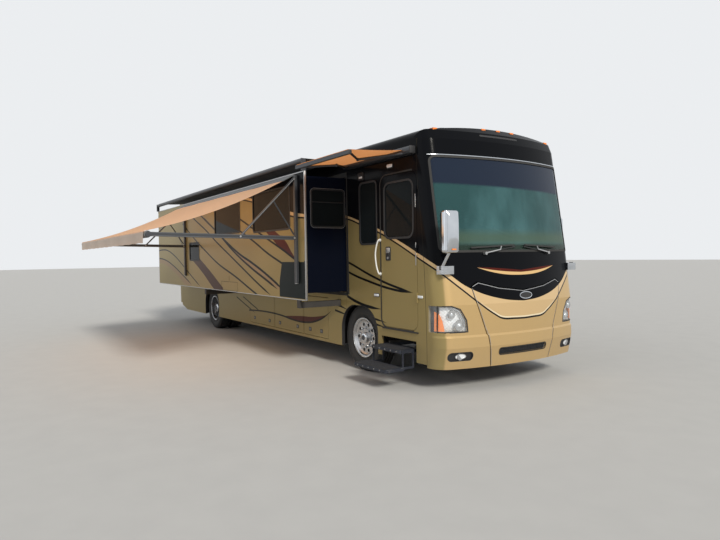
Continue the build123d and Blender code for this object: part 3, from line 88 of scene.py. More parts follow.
class Wire:
    tree = None      # the node tree that is being filled

    def __init__(self, socket):
        self.socket = socket

    @staticmethod
    def add(kind, settings=None, values=None, out=0):
        node = Wire.tree.nodes.new(kind)
        for key, value in (settings or {}).items():
            if key == "points":
                curve = node.mapping.curves[0]
                while len(curve.points) < len(value):
                    curve.points.new(0.5, 0.5)
                for point, place in zip(curve.points, value):
                    point.location = place
                node.mapping.update()
            else:
                setattr(node, key, value)
        for key, value in (values or {}).items():
            if isinstance(value, Wire):
                Wire.tree.links.new(value.socket, node.inputs[key])
            else:
                node.inputs[key].default_value = value
        return Wire(node.outputs[out])

    def maths(self, operation, other=None, swap=False, clamp=False):
        pair = [self] if other is None else [self, other]
        if swap:
            pair.reverse()
        return Wire.add("ShaderNodeMath", {"operation": operation, "use_clamp": clamp},
                        dict(enumerate(pair)))

    def __add__(self, other):
        return self.maths("ADD", other)

    def __sub__(self, other):
        return self.maths("SUBTRACT", other)

    def __mul__(self, other):
        return self.maths("MULTIPLY", other)

    def __truediv__(self, other):
        return self.maths("DIVIDE", other)

    def __rsub__(self, other):
        return self.maths("SUBTRACT", other, swap=True)

    __radd__ = __add__
    __rmul__ = __mul__

    def __abs__(self):
        return self.maths("ABSOLUTE")

    def clamp(self):
        return self.maths("ADD", 0.0, clamp=True)

    def least(self, other):
        return self.maths("MINIMUM", other)

    def most(self, other):
        return self.maths("MAXIMUM", other)

    def over(self, edge, soft=0.003):      # 1 where this is more than edge
        return ((self - edge) / soft + 0.5).clamp()

    def under(self, edge, soft=0.003):
        return ((edge - self) / soft + 0.5).clamp()

    def between(self, low, high, soft=0.003):
        return self.over(low, soft) * self.under(high, soft)


def follow(value, rows):      # a smooth curve through rows of (value, result), flat beyond its ends
    lo, hi = rows[0][0], rows[-1][0]
    place = ((value - lo) / (hi - lo)).clamp()
    points = [((a - lo) / (hi - lo), b / 4) for a, b in rows]
    return Wire.add("ShaderNodeFloatCurve", {"points": points}, {"Value": place}) * 4.0


def mix(factor, first, second):
    return Wire.add("ShaderNodeMix", {"data_type": "RGBA"}, {0: factor, 6: first, 7: second}, 2)


def colour(r, g, b):
    return (r, g, b, 1.0)


def noise(scale, detail=2.0, rough=0.5, stretch=(1, 1, 1)):
    point = Wire.add("ShaderNodeTexCoord", out="Object")
    placed = Wire.add("ShaderNodeMapping", values={0: point, "Scale": stretch})
    return Wire.add("ShaderNodeTexNoise", values={"Vector": placed, "Scale": scale, "Detail": detail,
                                                  "Roughness": rough})


def coachPoint():      # X, Y and Z on the coach, as for the sizes above
    point = Wire.add("ShaderNodeTexCoord", out="Object")
    x, y, z = (Wire.add("ShaderNodeSeparateXYZ", values={0: point}, out=i) for i in range(3))
    return x - coach["axleX"], y - coach["middleY"], z


def bump(height, strength, distance):
    return Wire.add("ShaderNodeBump", values={"Height": height, "Strength": strength, "Distance": distance})


def material(name, build):
    made = bpy.data.materials.new(name)
    made.use_nodes = True
    Wire.tree = made.node_tree
    shader = made.node_tree.nodes["Principled BSDF"]
    for key, value in build().items():
        if isinstance(value, Wire):
            Wire.tree.links.new(value.socket, shader.inputs[key])
        else:
            shader.inputs[key].default_value = value
    return made


# mesh helpers, all in coach metres

def addBox(bm, low, high, bevel=0.0, segments=2):
    made = bmesh.ops.create_cube(bm, size=1)["verts"]
    size = [b - a for a, b in zip(low, high)]
    middle = [(a + b) / 2 for a, b in zip(low, high)]
    bmesh.ops.transform(bm, verts=made, matrix=at(*middle) @ Matrix.Diagonal((*size, 1)))
    if bevel:
        edges = list({e for v in made for e in v.link_edges})
        bmesh.ops.bevel(bm, geom=edges, offset=bevel, segments=segments, profile=0.5, affect="EDGES",
                        material=-1)


def addRod(bm, start, end, radius, sides=20, endRadius=None, caps=True):
    a, b = Vector(start), Vector(end)
    turn = (b - a).to_track_quat("Z", "Y").to_matrix().to_4x4()
    bmesh.ops.create_cone(bm, cap_ends=caps, segments=sides, radius1=radius,
                          radius2=radius if endRadius is None else endRadius, depth=(b - a).length,
                          matrix=at(*((a + b) / 2)) @ turn)


def addBall(bm, centre, radius, sides):
    bmesh.ops.create_uvsphere(bm, u_segments=sides, v_segments=sides // 2, radius=radius, matrix=at(*centre))


def addPipe(bm, path, radius, sides):      # rods with a ball at each bend
    for a, b in zip(path, path[1:]):
        addRod(bm, a, b, radius, sides)
    for p in path[1:-1]:
        addBall(bm, p, radius, sides)


def rect(x0, x1, z0, z1):
    return [(x0, z0), (x1, z0), (x1, z1), (x0, z1)]


def addPlate(bm, points, matrix, depth, rounding=0.0, bevel=0.0):      # a flat shape with rounded corners
    part = bmesh.new()
    face = part.faces.new([part.verts.new((x, y, 0)) for x, y in points])
    if rounding:
        bmesh.ops.bevel(part, geom=list(face.verts), offset=rounding, segments=6, profile=0.5,
                        affect="VERTICES", material=-1)
        part.faces.ensure_lookup_table()
        face = part.faces[-1]
    moved = bmesh.ops.extrude_face_region(part, geom=[face])["geom"]
    top = [g for g in moved if isinstance(g, bmesh.types.BMVert)]
    bmesh.ops.translate(part, verts=top, vec=(0, 0, depth))
    bmesh.ops.recalc_face_normals(part, faces=part.faces)
    if bevel:
        rim = [e for e in part.edges if e.calc_length() > 0 and all(v in top for v in e.verts)]
        bmesh.ops.bevel(part, geom=rim, offset=bevel, segments=2, profile=0.5, affect="EDGES", material=-1)
    join(bm, part, matrix)


def join(bm, part, matrix):      # puts one mesh into another
    part.transform(matrix)
    spare = bpy.data.meshes.new("spare")
    part.to_mesh(spare)
    part.free()
    bm.from_mesh(spare)
    bpy.data.meshes.remove(spare)


def addSpin(bm, profile, centreX, centreY, steps, side=1):      # profile rows: out along the axle, radius
    part = bmesh.new()
    verts = [part.verts.new((0, out * side, r)) for out, r in profile]
    edges = [part.edges.new(pair) for pair in zip(verts, verts[1:])]
    bmesh.ops.spin(part, geom=verts + edges, cent=(0, 0, 0), axis=(0, 1, 0), angle=2 * math.pi,
                   steps=steps, use_merge=True)
    bmesh.ops.remove_doubles(part, verts=part.verts, dist=0.0002)
    bmesh.ops.recalc_face_normals(part, faces=part.faces)
    join(bm, part, at(centreX, centreY, coach["tyre"]))


def seat(name, bm, look, body, smooth=35, keepNormals=False):      # look names a finish
    if not keepNormals:
        bmesh.ops.recalc_face_normals(bm, faces=bm.faces)
    bmesh.ops.translate(bm, verts=bm.verts, vec=shift)
    mesh = bpy.data.meshes.new(name)
    bm.to_mesh(mesh)
    bm.free()
    piece = bpy.data.objects.new(name, mesh)
    scene.collection.objects.link(piece)
    mesh.materials.append(finish[look])
    if smooth:
        mesh.shade_smooth()
        mesh.set_sharp_from_angle(angle=math.radians(smooth))
    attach(piece, body)
    return piece


def single(name, look, body, add, *sizes, **more):      # a piece that one helper makes
    bm = bmesh.new()
    add(bm, *sizes, **more)
    seat(name, bm, look, body)


# camera, floor and light

view = {"place": (7.352, -6.014, 1.732), "yaw": 32.82, "pitch": -1.37, "roll": -0.81, "lens": 29.27}


def makeCamera():
    yaw, pitch, roll = (math.radians(view[k]) for k in ("yaw", "pitch", "roll"))
    ahead = Vector((-math.cos(yaw) * math.cos(pitch), math.sin(yaw) * math.cos(pitch), math.sin(pitch)))
    flatRight = ahead.cross(Vector((0, 0, 1))).normalized()
    flatUp = flatRight.cross(ahead)
    right = flatRight * math.cos(roll) + flatUp * math.sin(roll)
    up = flatUp * math.cos(roll) - flatRight * math.sin(roll)
    camera = bpy.data.objects.new("camera", bpy.data.cameras.new("camera"))
    camera.data.lens = view["lens"]
    camera.data.sensor_width = 36
    camera.data.clip_end = 300
    turn = Matrix((right, up, -ahead)).transposed().to_4x4()
    camera.matrix_world = at(*(Vector(view["place"]) + shift)) @ turn
    scene.collection.objects.link(camera)
    scene.camera = camera


# each sun: direction, strength, softness, tint
light = {"world": 0.5, "background": 0.97, "sky": (0.95, 0.97, 1.0), "paper": (0.86, 0.88, 0.9),
         "floor": [(0.44, 0.44, 0.435), (0.49, 0.49, 0.48)], "floorHalf": 120,
         "suns": [((-0.9, 0.16, -0.62), 3.0, 14, (1.0, 0.95, 0.86)),
                  ((0.3, 0.85, -0.5), 0.3, 60, (0.95, 0.97, 1.0))]}


def makeStudio():
    scene.view_settings.view_transform = "Standard"
    world = bpy.data.worlds.new("studio")
    scene.world = world
    world.use_nodes = True
    Wire.tree = world.node_tree
    seen = Wire.add("ShaderNodeLightPath", out="Is Camera Ray")
    for kind in ("Is Glossy Ray", "Is Transmission Ray"):
        seen = seen.most(Wire.add("ShaderNodeLightPath", out=kind))
    shade = world.node_tree.nodes["Background"]
    tone = mix(seen, colour(*light["sky"]), colour(*light["paper"]))
    world.node_tree.links.new(tone.socket, shade.inputs["Color"])
    level = light["world"] + seen * (light["background"] - light["world"])
    world.node_tree.links.new(level.socket, shade.inputs["Strength"])
    for i, (direction, strength, soft, tint) in enumerate(light["suns"]):
        lamp = bpy.data.lights.new(f"sun{i}", "SUN")
        lamp.energy = strength
        lamp.angle = math.radians(soft)
        lamp.color = tint
        sun = bpy.data.objects.new(f"sun{i}", lamp)
        sun.rotation_euler = Vector(direction).to_track_quat("-Z", "Y").to_euler()
        scene.collection.objects.link(sun)
    bm = bmesh.new()
    bmesh.ops.create_grid(bm, x_segments=1, y_segments=1, size=light["floorHalf"])
    mesh = bpy.data.meshes.new("floor")
    bm.to_mesh(mesh)
    bm.free()
    floor = bpy.data.objects.new("floor", mesh)
    scene.collection.objects.link(floor)

    def build():
        dark, pale = (colour(*tone) for tone in light["floor"])
        return {"Base Color": mix(noise(3.0, 6.0), dark, pale), "Roughness": 0.9}
    mesh.materials.append(material("floorPaper", build))


makeCamera()
makeStudio()
print("stage: camera and light")


# finishes

champagne = colour(0.62, 0.44, 0.23)
bronze = colour(0.30, 0.205, 0.105)
burgundy = colour(0.075, 0.012, 0.008)
brown = colour(0.06, 0.024, 0.012)
black = colour(0.004, 0.0045, 0.006)
# colour of the painted highlight along the nose's ridge
noseRidgeHighlight = colour(0.85, 0.74, 0.52)

# lines that edge both a stripe and a band: rows of (X, height)
rearLine = [(-8.95, 1.744), (-8.196, 1.698), (-7.469, 1.558), (-6.711, 1.35), (-5.975, 1.135)]
upperLine = [(-5.6, 2.82), (-4.896, 2.53), (-4.275, 2.291), (-3.236, 1.836), (-2.434, 1.549), (-1.721, 1.332),
             (-1.331, 1.208)]
lowerLine = [(-5.0, 2.58), (-4.3, 2.30), (-3.705, 2.059), (-2.955, 1.791), (-2.429, 1.648), (-1.717, 1.426),
             (-1.083, 1.192)]

# paint lines: rows of (distance round the nose and back along the side, height)
paint = {
    "darkEdge": [(-2.03, 1.113), (-1.567, 1.163), (-1.047, 1.308), (-0.597, 1.542), (-0.059, 1.785),
                 (0.353, 1.955), (0.787, 2.118), (1.264, 2.255), (1.65, 2.36), (1.94, 2.40),
                 (3.53, 2.745), (4.15, 2.86), (6.2, 3.25)],
    "pinstripe": [(-2.03, 0.885), (-1.85, 0.89), (-1.62, 0.905), (-1.50, 0.955), (-1.17, 1.14),
                  (-0.88, 1.313), (-0.534, 1.51), (-0.059, 1.721), (0.353, 1.901), (0.787, 2.068),
                  (1.264, 2.207), (1.578, 2.296), (1.94, 2.335), (3.53, 2.69), (4.15, 2.80), (6.2, 3.19)],
    # on the nose: rows of (distance from the middle, height)
    "crescentLow": [(0.0, 1.455), (0.39, 1.482), (0.72, 1.562)],
    "crescentMid": [(0.0, 1.492), (0.39, 1.517), (0.72, 1.564)],
    "crescentTop": [(0.0, 1.517), (0.39, 1.55), (0.72, 1.568)],
    # on the side: rows of (X, height), half width of the stripe
    "stripes": [([(-0.4, 1.66), (-0.27, 1.626), (0.3, 1.45), (0.8, 1.325), (1.288, 1.242)], 0.013),
                ([(-0.4, 1.52), (-0.27, 1.477), (0.3, 1.352), (0.8, 1.272), (1.288, 1.238)], 0.013),
                ([(-0.36, 1.12), (-0.086, 1.043), (0.2, 0.995), (0.571, 0.975)], 0.017),
                ([(-6.6, 2.55), (-6.187, 2.375), (-5.696, 2.167), (-4.865, 1.857), (-4.181, 1.623),
                  (-3.203, 1.374), (-2.253, 1.103), (-2.0, 1.04)], 0.014),
                ([(-6.3, 2.84), (-5.587, 2.571), (-4.908, 2.33), (-4.222, 2.052), (-3.535, 1.797),
                  (-2.804, 1.525), (-2.195, 1.299), (-1.596, 1.096)], 0.014),
                (upperLine, 0.016), (lowerLine, 0.017),
                ([(-4.2, 2.82), (-3.6, 2.64), (-2.867, 2.422), (-2.3, 2.233), (-1.646, 2.018),
                  (-1.138, 1.853), (-0.649, 1.68), (-0.34, 1.58)], 0.014),
                ([(-3.3, 2.33), (-2.8, 2.18), (-2.31, 2.019), (-1.701, 1.797), (-1.27, 1.667),
                  (-0.662, 1.49), (-0.34, 1.41)], 0.014),
                ([(-8.95, 1.94), (-8.4, 1.965), (-7.959, 1.94), (-7.252, 1.778), (-6.693, 1.589),
                  (-6.003, 1.338), (-5.328, 1.108)], 0.012),
                (rearLine, 0.012),
                ([(-8.3, 2.75), (-7.594, 2.549), (-7.017, 2.29), (-6.527, 1.984), (-6.223, 1.875)], 0.012),
                ([(-4.338, 0.62), (-3.428, 0.65), (-2.662, 0.627), (-2.31, 0.594), (-1.784, 0.585),
                  (-1.356, 0.645), (-1.01, 0.77), (-0.843, 0.864)], 0.012),
                ([(-4.654, 0.887), (-3.931, 0.682), (-3.7, 0.62)], 0.010),
                ([(-5.05, 0.866), (-4.29, 0.658), (-4.0, 0.58)], 0.010),
                ([(-0.737, 0.872), (-0.48, 0.838), (-0.3, 0.81)], 0.012),
                ([(-0.63, 0.959), (-0.427, 0.919), (-0.3, 0.89)], 0.012),
                ([(0.2, 0.84), (0.546, 0.808), (0.70, 0.79)], 0.012),
                ([(0.2, 0.77), (0.544, 0.736), (0.70, 0.72)], 0.012)],
    # bands between two such lines: lower line, upper line, colour
    "bands": [([(-8.95, 1.609), (-8.206, 1.582), (-7.48, 1.419), (-6.998, 1.29), (-6.545, 1.116)],
               rearLine, (-8.95, -5.975), "bronze"),
              ([(-5.894, 1.694), (-5.192, 1.427), (-4.551, 1.136), (-4.3, 1.03)],
               [(-6.2, 2.04), (-5.327, 1.717), (-4.603, 1.436), (-3.946, 1.158), (-3.7, 1.06)],
               (-6.0, -3.9), "brown"),
              ([(-2.1, 2.30), (-1.821, 2.183), (-1.556, 2.052), (-1.261, 1.899), (-0.805, 1.736),
                (-0.62, 1.665)],
               [(-2.1, 2.36), (-1.463, 2.176), (-1.212, 2.076), (-1.011, 1.981), (-0.802, 1.804),
                (-0.62, 1.67)],
               (-2.1, -0.62), "burgundy"),
              ([(-2.662, 0.627), (-2.31, 0.594), (-1.784, 0.585), (-1.356, 0.645), (-1.01, 0.77)],
               [(-2.662, 0.627), (-1.973, 0.681), (-1.473, 0.706), (-1.01, 0.77)],
               (-2.66, -1.01), "burgundy"),
              (upperLine, lowerLine, (-5.0, -1.2), "bronze")],
}
tones = {"bronze": bronze, "brown": brown, "burgundy": burgundy}


def coachPaint():
    x, y, z = coachPoint()
    across = abs(y).least(coach["half"])
    onNose = across.under(1.2, 0.02) * x.over(1.0, 0.02)
    wrap = across - x
    flake = noise(900.0, 1.0)
    cloud = noise(0.9, 2.0)
    side = 1.0 - onNose
    grain = (cloud * 0.5 + flake * 0.5).clamp()
    # the sides get a darker, greener copy of the nose's gold: painted shade
    tone = mix(side, mix(grain, colour(0.47, 0.325, 0.145), colour(0.55, 0.38, 0.175)),
               mix(grain, colour(0.275, 0.215, 0.088), colour(0.33, 0.255, 0.11)))
    inGold = side * x.under(-0.32, 0.003)
    for low, high, (x0, x1), name in paint["bands"]:
        mask = z.over(follow(x, low)) * z.under(follow(x, high)) * x.between(x0, x1) * inGold
        tone = mix(mask, tone, tones[name])
    for rows, half in paint["stripes"]:
        x0, x1 = rows[0][0], rows[-1][0]
        away = abs(z - follow(x, rows))
        taper = ((x1 - x) / 0.25).clamp() * half * 1.3
        tone = mix(away.under(taper) * x.between(x0, x1) * side, tone, black)
    live = wrap.under(6.15)
    isDark = z.over(follow(wrap, paint["darkEdge"])) * live
    thin = follow(wrap, paint["pinstripe"])
    tone = mix(z.over(thin) * live, tone, champagne)
    tone = mix(abs(z - thin).under(0.0125) * live, tone, black)
    # a pale line just above the pinstripe on the nose, fading towards the corners: painted highlight along
    # the nose's ridge
    tone = mix(abs(z - thin - 0.021).under(0.009) * onNose * across.under(0.62, 0.25), tone, noseRidgeHighlight)
    tone = mix(isDark, tone, black)
    # the room's dark corner panel and its end wall
    panel = x.between(-1.26, -0.36) * z.between(1.1, 1.655) * z.under((x + 1.26) * 3.2 + 1.33, 0.02)
    tone = mix(panel * inGold * abs(y).over(1.6), tone, colour(0.006, 0.010, 0.010))
    endWall = x.between(-0.3765, -0.3735, 0.001) * abs(y).between(1.20, 2.0)
    tone = mix(endWall, tone, colour(0.004, 0.006, 0.014))
    # crescent under the windshield
    low, mid, top = (follow(across, paint[k]) for k in ("crescentLow", "crescentMid", "crescentTop"))
    near = onNose * across.under(0.72)
    tone = mix(z.between(low, mid) * near, tone, colour(0.62, 0.42, 0.2))
    tone = mix(z.between(mid, top) * near, tone, burgundy)
    # white roof above the round edges
    crown = z.over(3.352, 0.006) * x.under(1.16)
    tone = mix(crown, tone, colour(0.74, 0.74, 0.72))
    # seam between the front cap and the walls
    seam = follow(z, [(0.292, 1.565), (0.78, 1.56), (1.8, 1.51), (2.85, 1.4), (3.24, 1.4)])
    tone = mix(abs(x - seam).under(0.003) * z.under(3.24) * side, tone, colour(0.02, 0.018, 0.014))
    dust = noise(14.0, 5.0, 0.6) * z.under(0.7, 0.5)
    tone = mix(dust * 0.22, tone, colour(0.30, 0.26, 0.20))
    return {"Base Color": tone, "Metallic": (1.0 - isDark) * (1.0 - crown) * 0.3,
            "Roughness": 0.32 - isDark * 0.16 + dust * 0.2 + crown * 0.2,
            "Specular IOR Level": 0.05, "Coat Weight": (1.0 - isDark) * (0.55 - side * 0.51) + isDark * 0.02,
            "Coat Roughness": 0.04,
            "Normal": bump(noise(7.0, 1.0), 0.05, 0.004)}


def sideGlass():
    tone = mix(noise(1.5), colour(0.006, 0.008, 0.009), colour(0.014, 0.018, 0.02))
    return {"Base Color": tone, "Roughness": 0.04 + noise(30.0, 2.0) * 0.02, "Alpha": 0.97,
            "Specular IOR Level": 0.04}


def frontGlass():
    _, y, z = coachPoint()
    band = z.over(2.62 + y * -0.02, 0.03)
    haze = noise(1.3, 3.0)
    # pale teal patches, stretched upright: painted reflection of the sky
    skyReflection = noise(1.1, 6.0, 0.62, (1, 1, 0.45)).over(0.54, 0.22)
    tone = mix(haze, colour(0.018, 0.062, 0.066), colour(0.032, 0.10, 0.105))
    tone = mix(skyReflection * 0.55, tone, colour(0.10, 0.24, 0.26))
    # a green band across the lower glass: painted reflection of the horizon
    tone = mix(z.between(1.86, 2.02, 0.10) * 0.7, tone, colour(0.075, 0.12, 0.075))
    tone = mix(z.under(1.86, 0.04), tone, colour(0.02, 0.04, 0.03))
    tone = mix(band, tone, colour(0.008, 0.016, 0.036))
    return {"Base Color": tone, "Roughness": 0.03 + haze * 0.02, "Alpha": 0.74 + band * 0.2,
            "Specular IOR Level": 0.25}


def chrome():
    return {"Base Color": mix(noise(6.0), colour(0.52, 0.55, 0.59), colour(0.72, 0.74, 0.76)),
            "Metallic": 1.0, "Roughness": 0.08 + noise(25.0, 3.0) * 0.06}


def polishedAlloy():
    return {"Base Color": mix(noise(9.0, 3.0), colour(0.40, 0.41, 0.42), colour(0.56, 0.56, 0.57)),
            "Metallic": 1.0, "Roughness": 0.2 + noise(60.0, 4.0, 0.6) * 0.16,
            "Normal": bump(noise(220.0, 2.0), 0.05, 0.0006)}


def stepCoat():
    wear = noise(24.0, 5.0, 0.65)
    scuff = wear.over(0.62, 0.08)
    coat = mix(wear, colour(0.010, 0.013, 0.022), colour(0.022, 0.027, 0.04))
    return {"Base Color": mix(scuff * 0.5, coat, colour(0.12, 0.12, 0.12)),
            "Metallic": 0.2, "Roughness": 0.48 + wear * 0.2, "Normal": bump(noise(420.0, 2.0), 0.25, 0.001)}


def engineGrey():
    wear = noise(8.0, 6.0, 0.6)
    rib = (coachPoint()[2] * 90.0).maths("SINE")
    return {"Base Color": mix(wear, colour(0.10, 0.105, 0.11), colour(0.2, 0.2, 0.2)), "Metallic": 0.5,
            "Roughness": 0.5 + wear * 0.2, "Normal": bump(rib, 0.4, 0.01)}


def floorBoard():
    grain = noise(4.0, 6.0, 0.6, (0.25, 8, 1))
    gap = (coachPoint()[1] * 8.0).maths("FRACT").under(0.03, 0.01)
    tone = mix(grain, colour(0.22, 0.12, 0.06), colour(0.38, 0.24, 0.13))
    return {"Base Color": mix(gap, tone, colour(0.05, 0.03, 0.02)), "Roughness": 0.35 + grain * 0.15,
            "Normal": bump(grain - gap, 0.15, 0.001)}


def clearLens():
    haze = noise(40.0, 3.0)
    return {"Base Color": mix(haze, colour(0.80, 0.84, 0.86), colour(0.92, 0.94, 0.95)),
            "Roughness": 0.04 + haze * 0.04, "Alpha": 0.10 + haze * 0.04, "Specular IOR Level": 0.7}


def reflector():
    _, y, z = coachPoint()
    facet = (y * 150.0).maths("SINE") * (z * 150.0).maths("SINE")
    return {"Base Color": mix(noise(30.0), colour(0.80, 0.84, 0.88), colour(0.93, 0.95, 0.97)),
            "Metallic": 0.3, "Roughness": 0.22, "Normal": bump(facet, 0.4, 0.004)}


def amberLens():
    return fluted((0.85, 0.19, 0.008), (0.95, 0.27, 0.015), 2, 700.0)


def redLens():
    return fluted((0.35, 0.008, 0.006), (0.5, 0.02, 0.012), 2, 420.0)


def paleLens():
    return fluted((0.66, 0.70, 0.74), (0.84, 0.87, 0.9), 1, 600.0, 0.25, 0.16)


def fluted(dark, pale, axis, pitch, depth=0.3, roughness=0.12):      # moulded lens with fine ribs
    flute = (coachPoint()[axis] * pitch).maths("SINE")
    return {"Base Color": mix(noise(60.0), colour(*dark), colour(*pale)), "Roughness": roughness,
            "Coat Weight": 0.8, "Normal": bump(flute, depth, 0.002)}


def leather():
    grain = Wire.add("ShaderNodeTexVoronoi", values={
        "Vector": Wire.add("ShaderNodeTexCoord", out="Object"), "Scale": 240.0})
    age = noise(6.0, 4.0)
    return {"Base Color": mix(age, colour(0.36, 0.27, 0.18), colour(0.46, 0.36, 0.25)),
            "Roughness": 0.42 + age * 0.15, "Normal": bump(grain, 0.3, 0.0012)}


drawn = (60.0, 3.0, 0.6, (0.05, 1, 1))      # streaks along drawn metal

# plain finishes: dark tone, pale tone, wear's noise, roughness and how far wear raises it,
# fine grain's scale, detail, strength and depth, other sockets
plain = {
    "satinAlloy": [(0.40, 0.41, 0.42), (0.52, 0.52, 0.52), drawn, (0.34, 0.14), None, {"Metallic": 0.9}],
    "darkAlloy": [(0.045, 0.048, 0.055), (0.085, 0.09, 0.10), drawn, (0.36, 0.16), None, {"Metallic": 0.6}],
    "slatAlloy": [(0.13, 0.14, 0.15), (0.20, 0.205, 0.21), drawn, (0.42, 0.14), None, {"Metallic": 0.5}],
    "rubber": [(0.012, 0.012, 0.012), (0.026, 0.025, 0.024), (35.0, 5.0, 0.6), (0.62, 0.2),
               (300.0, 2.0, 0.1, 0.0008), {}],
    "blackPlastic": [(0.012, 0.012, 0.013), (0.022, 0.022, 0.024), (650.0, 2.0), (0.5, 0.12),
                     (650.0, 2.0, 0.15, 0.0005), {}],
    "whitePlastic": [(0.66, 0.67, 0.66), (0.78, 0.78, 0.76), (6.0, 5.0, 0.6), (0.38, 0.15),
                     (180.0, 2.0, 0.06, 0.001), {}],
    "dashPlastic": [(0.10, 0.085, 0.065), (0.14, 0.12, 0.095), (500.0, 2.0), (0.55, 0.1),
                    (500.0, 2.0, 0.25, 0.0006), {}],
    "framePaint": [(0.014, 0.014, 0.015), (0.05, 0.045, 0.04), (5.0, 6.0, 0.65), (0.5, 0.3),
                   (60.0, 4.0, 0.15, 0.002), {}],
    "castIron": [(0.035, 0.034, 0.034), (0.10, 0.085, 0.07), (14.0, 6.0, 0.65), (0.6, 0.2),
                 (120.0, 4.0, 0.3, 0.002), {"Metallic": 0.5}],
    "gripStrip": [(0.012, 0.012, 0.014), (0.045, 0.046, 0.05), (900.0, 2.0), (0.75, 0.15),
                  (900.0, 2.0, 0.5, 0.0015), {}],
    "mirrorFace": [(0.80, 0.83, 0.86), (0.9, 0.91, 0.93), (12.0, 3.0), (0.02, 0.02), None, {"Metallic": 1.0}],
    "beamGlass": [(0.55, 0.60, 0.64), (0.72, 0.76, 0.80), (40.0, 3.0), (0.06, 0.05), None,
                  {"Metallic": 0.4, "Specular IOR Level": 0.8}],
    "wellLining": [(0.006, 0.006, 0.006), (0.016, 0.015, 0.014), (9.0, 5.0, 0.6), (0.85, 0.1), None, {}],
    "satinWhite": [(0.42, 0.42, 0.41), (0.55, 0.55, 0.53), (8.0, 5.0, 0.6), (0.55, 0.2), None, {}],
    "domeGrey": [(0.13, 0.14, 0.15), (0.20, 0.21, 0.22), (6.0, 5.0, 0.6), (0.35, 0.2), None,
                 {"Coat Weight": 0.3}],
}


def plainFinish(dark, pale, pattern, gloss, grain, more):
    wear = noise(*pattern)
    made = {"Base Color": mix(wear, colour(*dark), colour(*pale)),
            "Roughness": gloss[0] + wear * gloss[1], **more}
    if grain:
        scale, detail, strength, depth = grain
        made["Normal"] = bump(noise(scale, detail), strength, depth)
    return made


finish = {f.__name__: material(f.__name__, f) for f in (
    coachPaint, sideGlass, frontGlass, chrome, polishedAlloy, stepCoat, engineGrey, floorBoard, amberLens,
    redLens, clearLens, reflector, leather, paleLens)}
for name, row in plain.items():
    finish[name] = material(name, lambda: plainFinish(*row))
finish["frontGlass"].surface_render_method = "BLENDED"


def canvas(name, warm, dark, glow):      # woven acrylic, lit through from above, and glowing in its own colour by emission: painted light
    made = bpy.data.materials.new(name)
    made.use_nodes = True
    Wire.tree = made.node_tree
    tree = made.node_tree
    x, y, z = coachPoint()
    warp = (x * 1400.0).maths("SINE") * (y * 1400.0).maths("SINE")
    panel = (x / 1.2).maths("FRACT").under(0.012, 0.004)
    stain = noise(1.6, 5.0, 0.6)
    tone = mix(stain * 0.6 + panel * 0.5, colour(*warm), colour(*dark))
    hanging = z.under(2.094, 0.01)
    tone = mix(hanging, tone, colour(0.30, 0.235, 0.185))
    shader = tree.nodes["Principled BSDF"]
    shader.inputs["Roughness"].default_value = 0.85
    shader.inputs["Sheen Weight"].default_value = 0.2
    # the cloth emits its own colour though it is no lamp: painted light
    shader.inputs["Emission Strength"].default_value = glow * 0.6
    tree.links.new(tone.socket, shader.inputs["Emission Color"])
    tree.links.new(tone.socket, shader.inputs["Base Color"])
    tree.links.new(bump(warp, 0.2, 0.0008).socket, shader.inputs["Normal"])
    through = Wire.add("ShaderNodeBsdfTranslucent", values={"Color": colour(*[v * 0.97 for v in warm])})
    share = (1.0 - hanging * 0.75) * glow
    both = Wire.add("ShaderNodeMixShader", values={0: share, 1: Wire(shader.outputs[0]), 2: through})
    tree.links.new(both.socket, tree.nodes["Material Output"].inputs["Surface"])
    finish[name] = made


canvas("patioCanvas", (0.97, 0.59, 0.35), (0.90, 0.52, 0.30), 0.62)
canvas("doorCanvas", (0.66, 0.27, 0.09), (0.55, 0.21, 0.06), 0.45)
canvas("topperCanvas", (0.035, 0.037, 0.042), (0.02, 0.021, 0.024), 0.05)

# the CAD parts that keep their own shape
carried = {
    "coachPaint": ["wall_right", "wall_right_strips", "wall_left", "skirt_right", "skirt_left", "front_cap",
                   "front_brow", "rear_cap", "roof", "entry_door", "slide_room", "slide_room_decks",
                   "slide_room_ends", "front_hatch", "engine_door", "bay_door_right_front",
                   "bay_door_right_middle", "bay_door_right_rear", "bay_door_left_front",
                   "bay_door_left_rear"],
    "sideGlass": ["side_glass", "slide_glass", "entry_door_glass"],
    "frontGlass": ["windshield"],
    "framePaint": ["chassis_frame", "chassis_beams", "chassis_brackets", "tow_receiver", "slide_runners"],
    "castIron": ["front_axle", "rear_axle", "knuckle_right", "knuckle_left"],
    "engineGrey": ["engine_block"],
    "floorBoard": ["house_floor"],
    "wellLining": ["entry_well"],
    "clearLens": ["headlamps"],
    "amberLens": ["small_lamps"],
    "chrome": ["mirror_housings"],
    "mirrorFace": ["mirror_glass"],
    "blackPlastic": ["wipers"],
    "satinWhite": ["roof_units"],
    "domeGrey": ["roof_fittings"],
    "dashPlastic": ["dashboard"],
    "leather": ["cab_seats"],
    "darkAlloy": ["awning_frame", "awning_rollers", "door_awning"],
    "patioCanvas": ["awning_cloth"],
    "doorCanvas": ["door_awning_cloth"],
    "topperCanvas": ["topper_cloth"],
    "rubber": ["front_tyre_right", "front_tyre_left", "rear_tyres_right", "rear_tyres_left"],
    "polishedAlloy": ["front_rim_right", "front_rim_left", "rear_rims_right", "rear_rims_left"],
    "stepCoat": ["entry_steps"],
}
for name, members in carried.items():
    for member in members:
        mesh = nodes[member].data
        mesh.materials.clear()
        mesh.materials.append(finish[name])
print("stage: finishes")


# bands, loops and patches that follow the skin

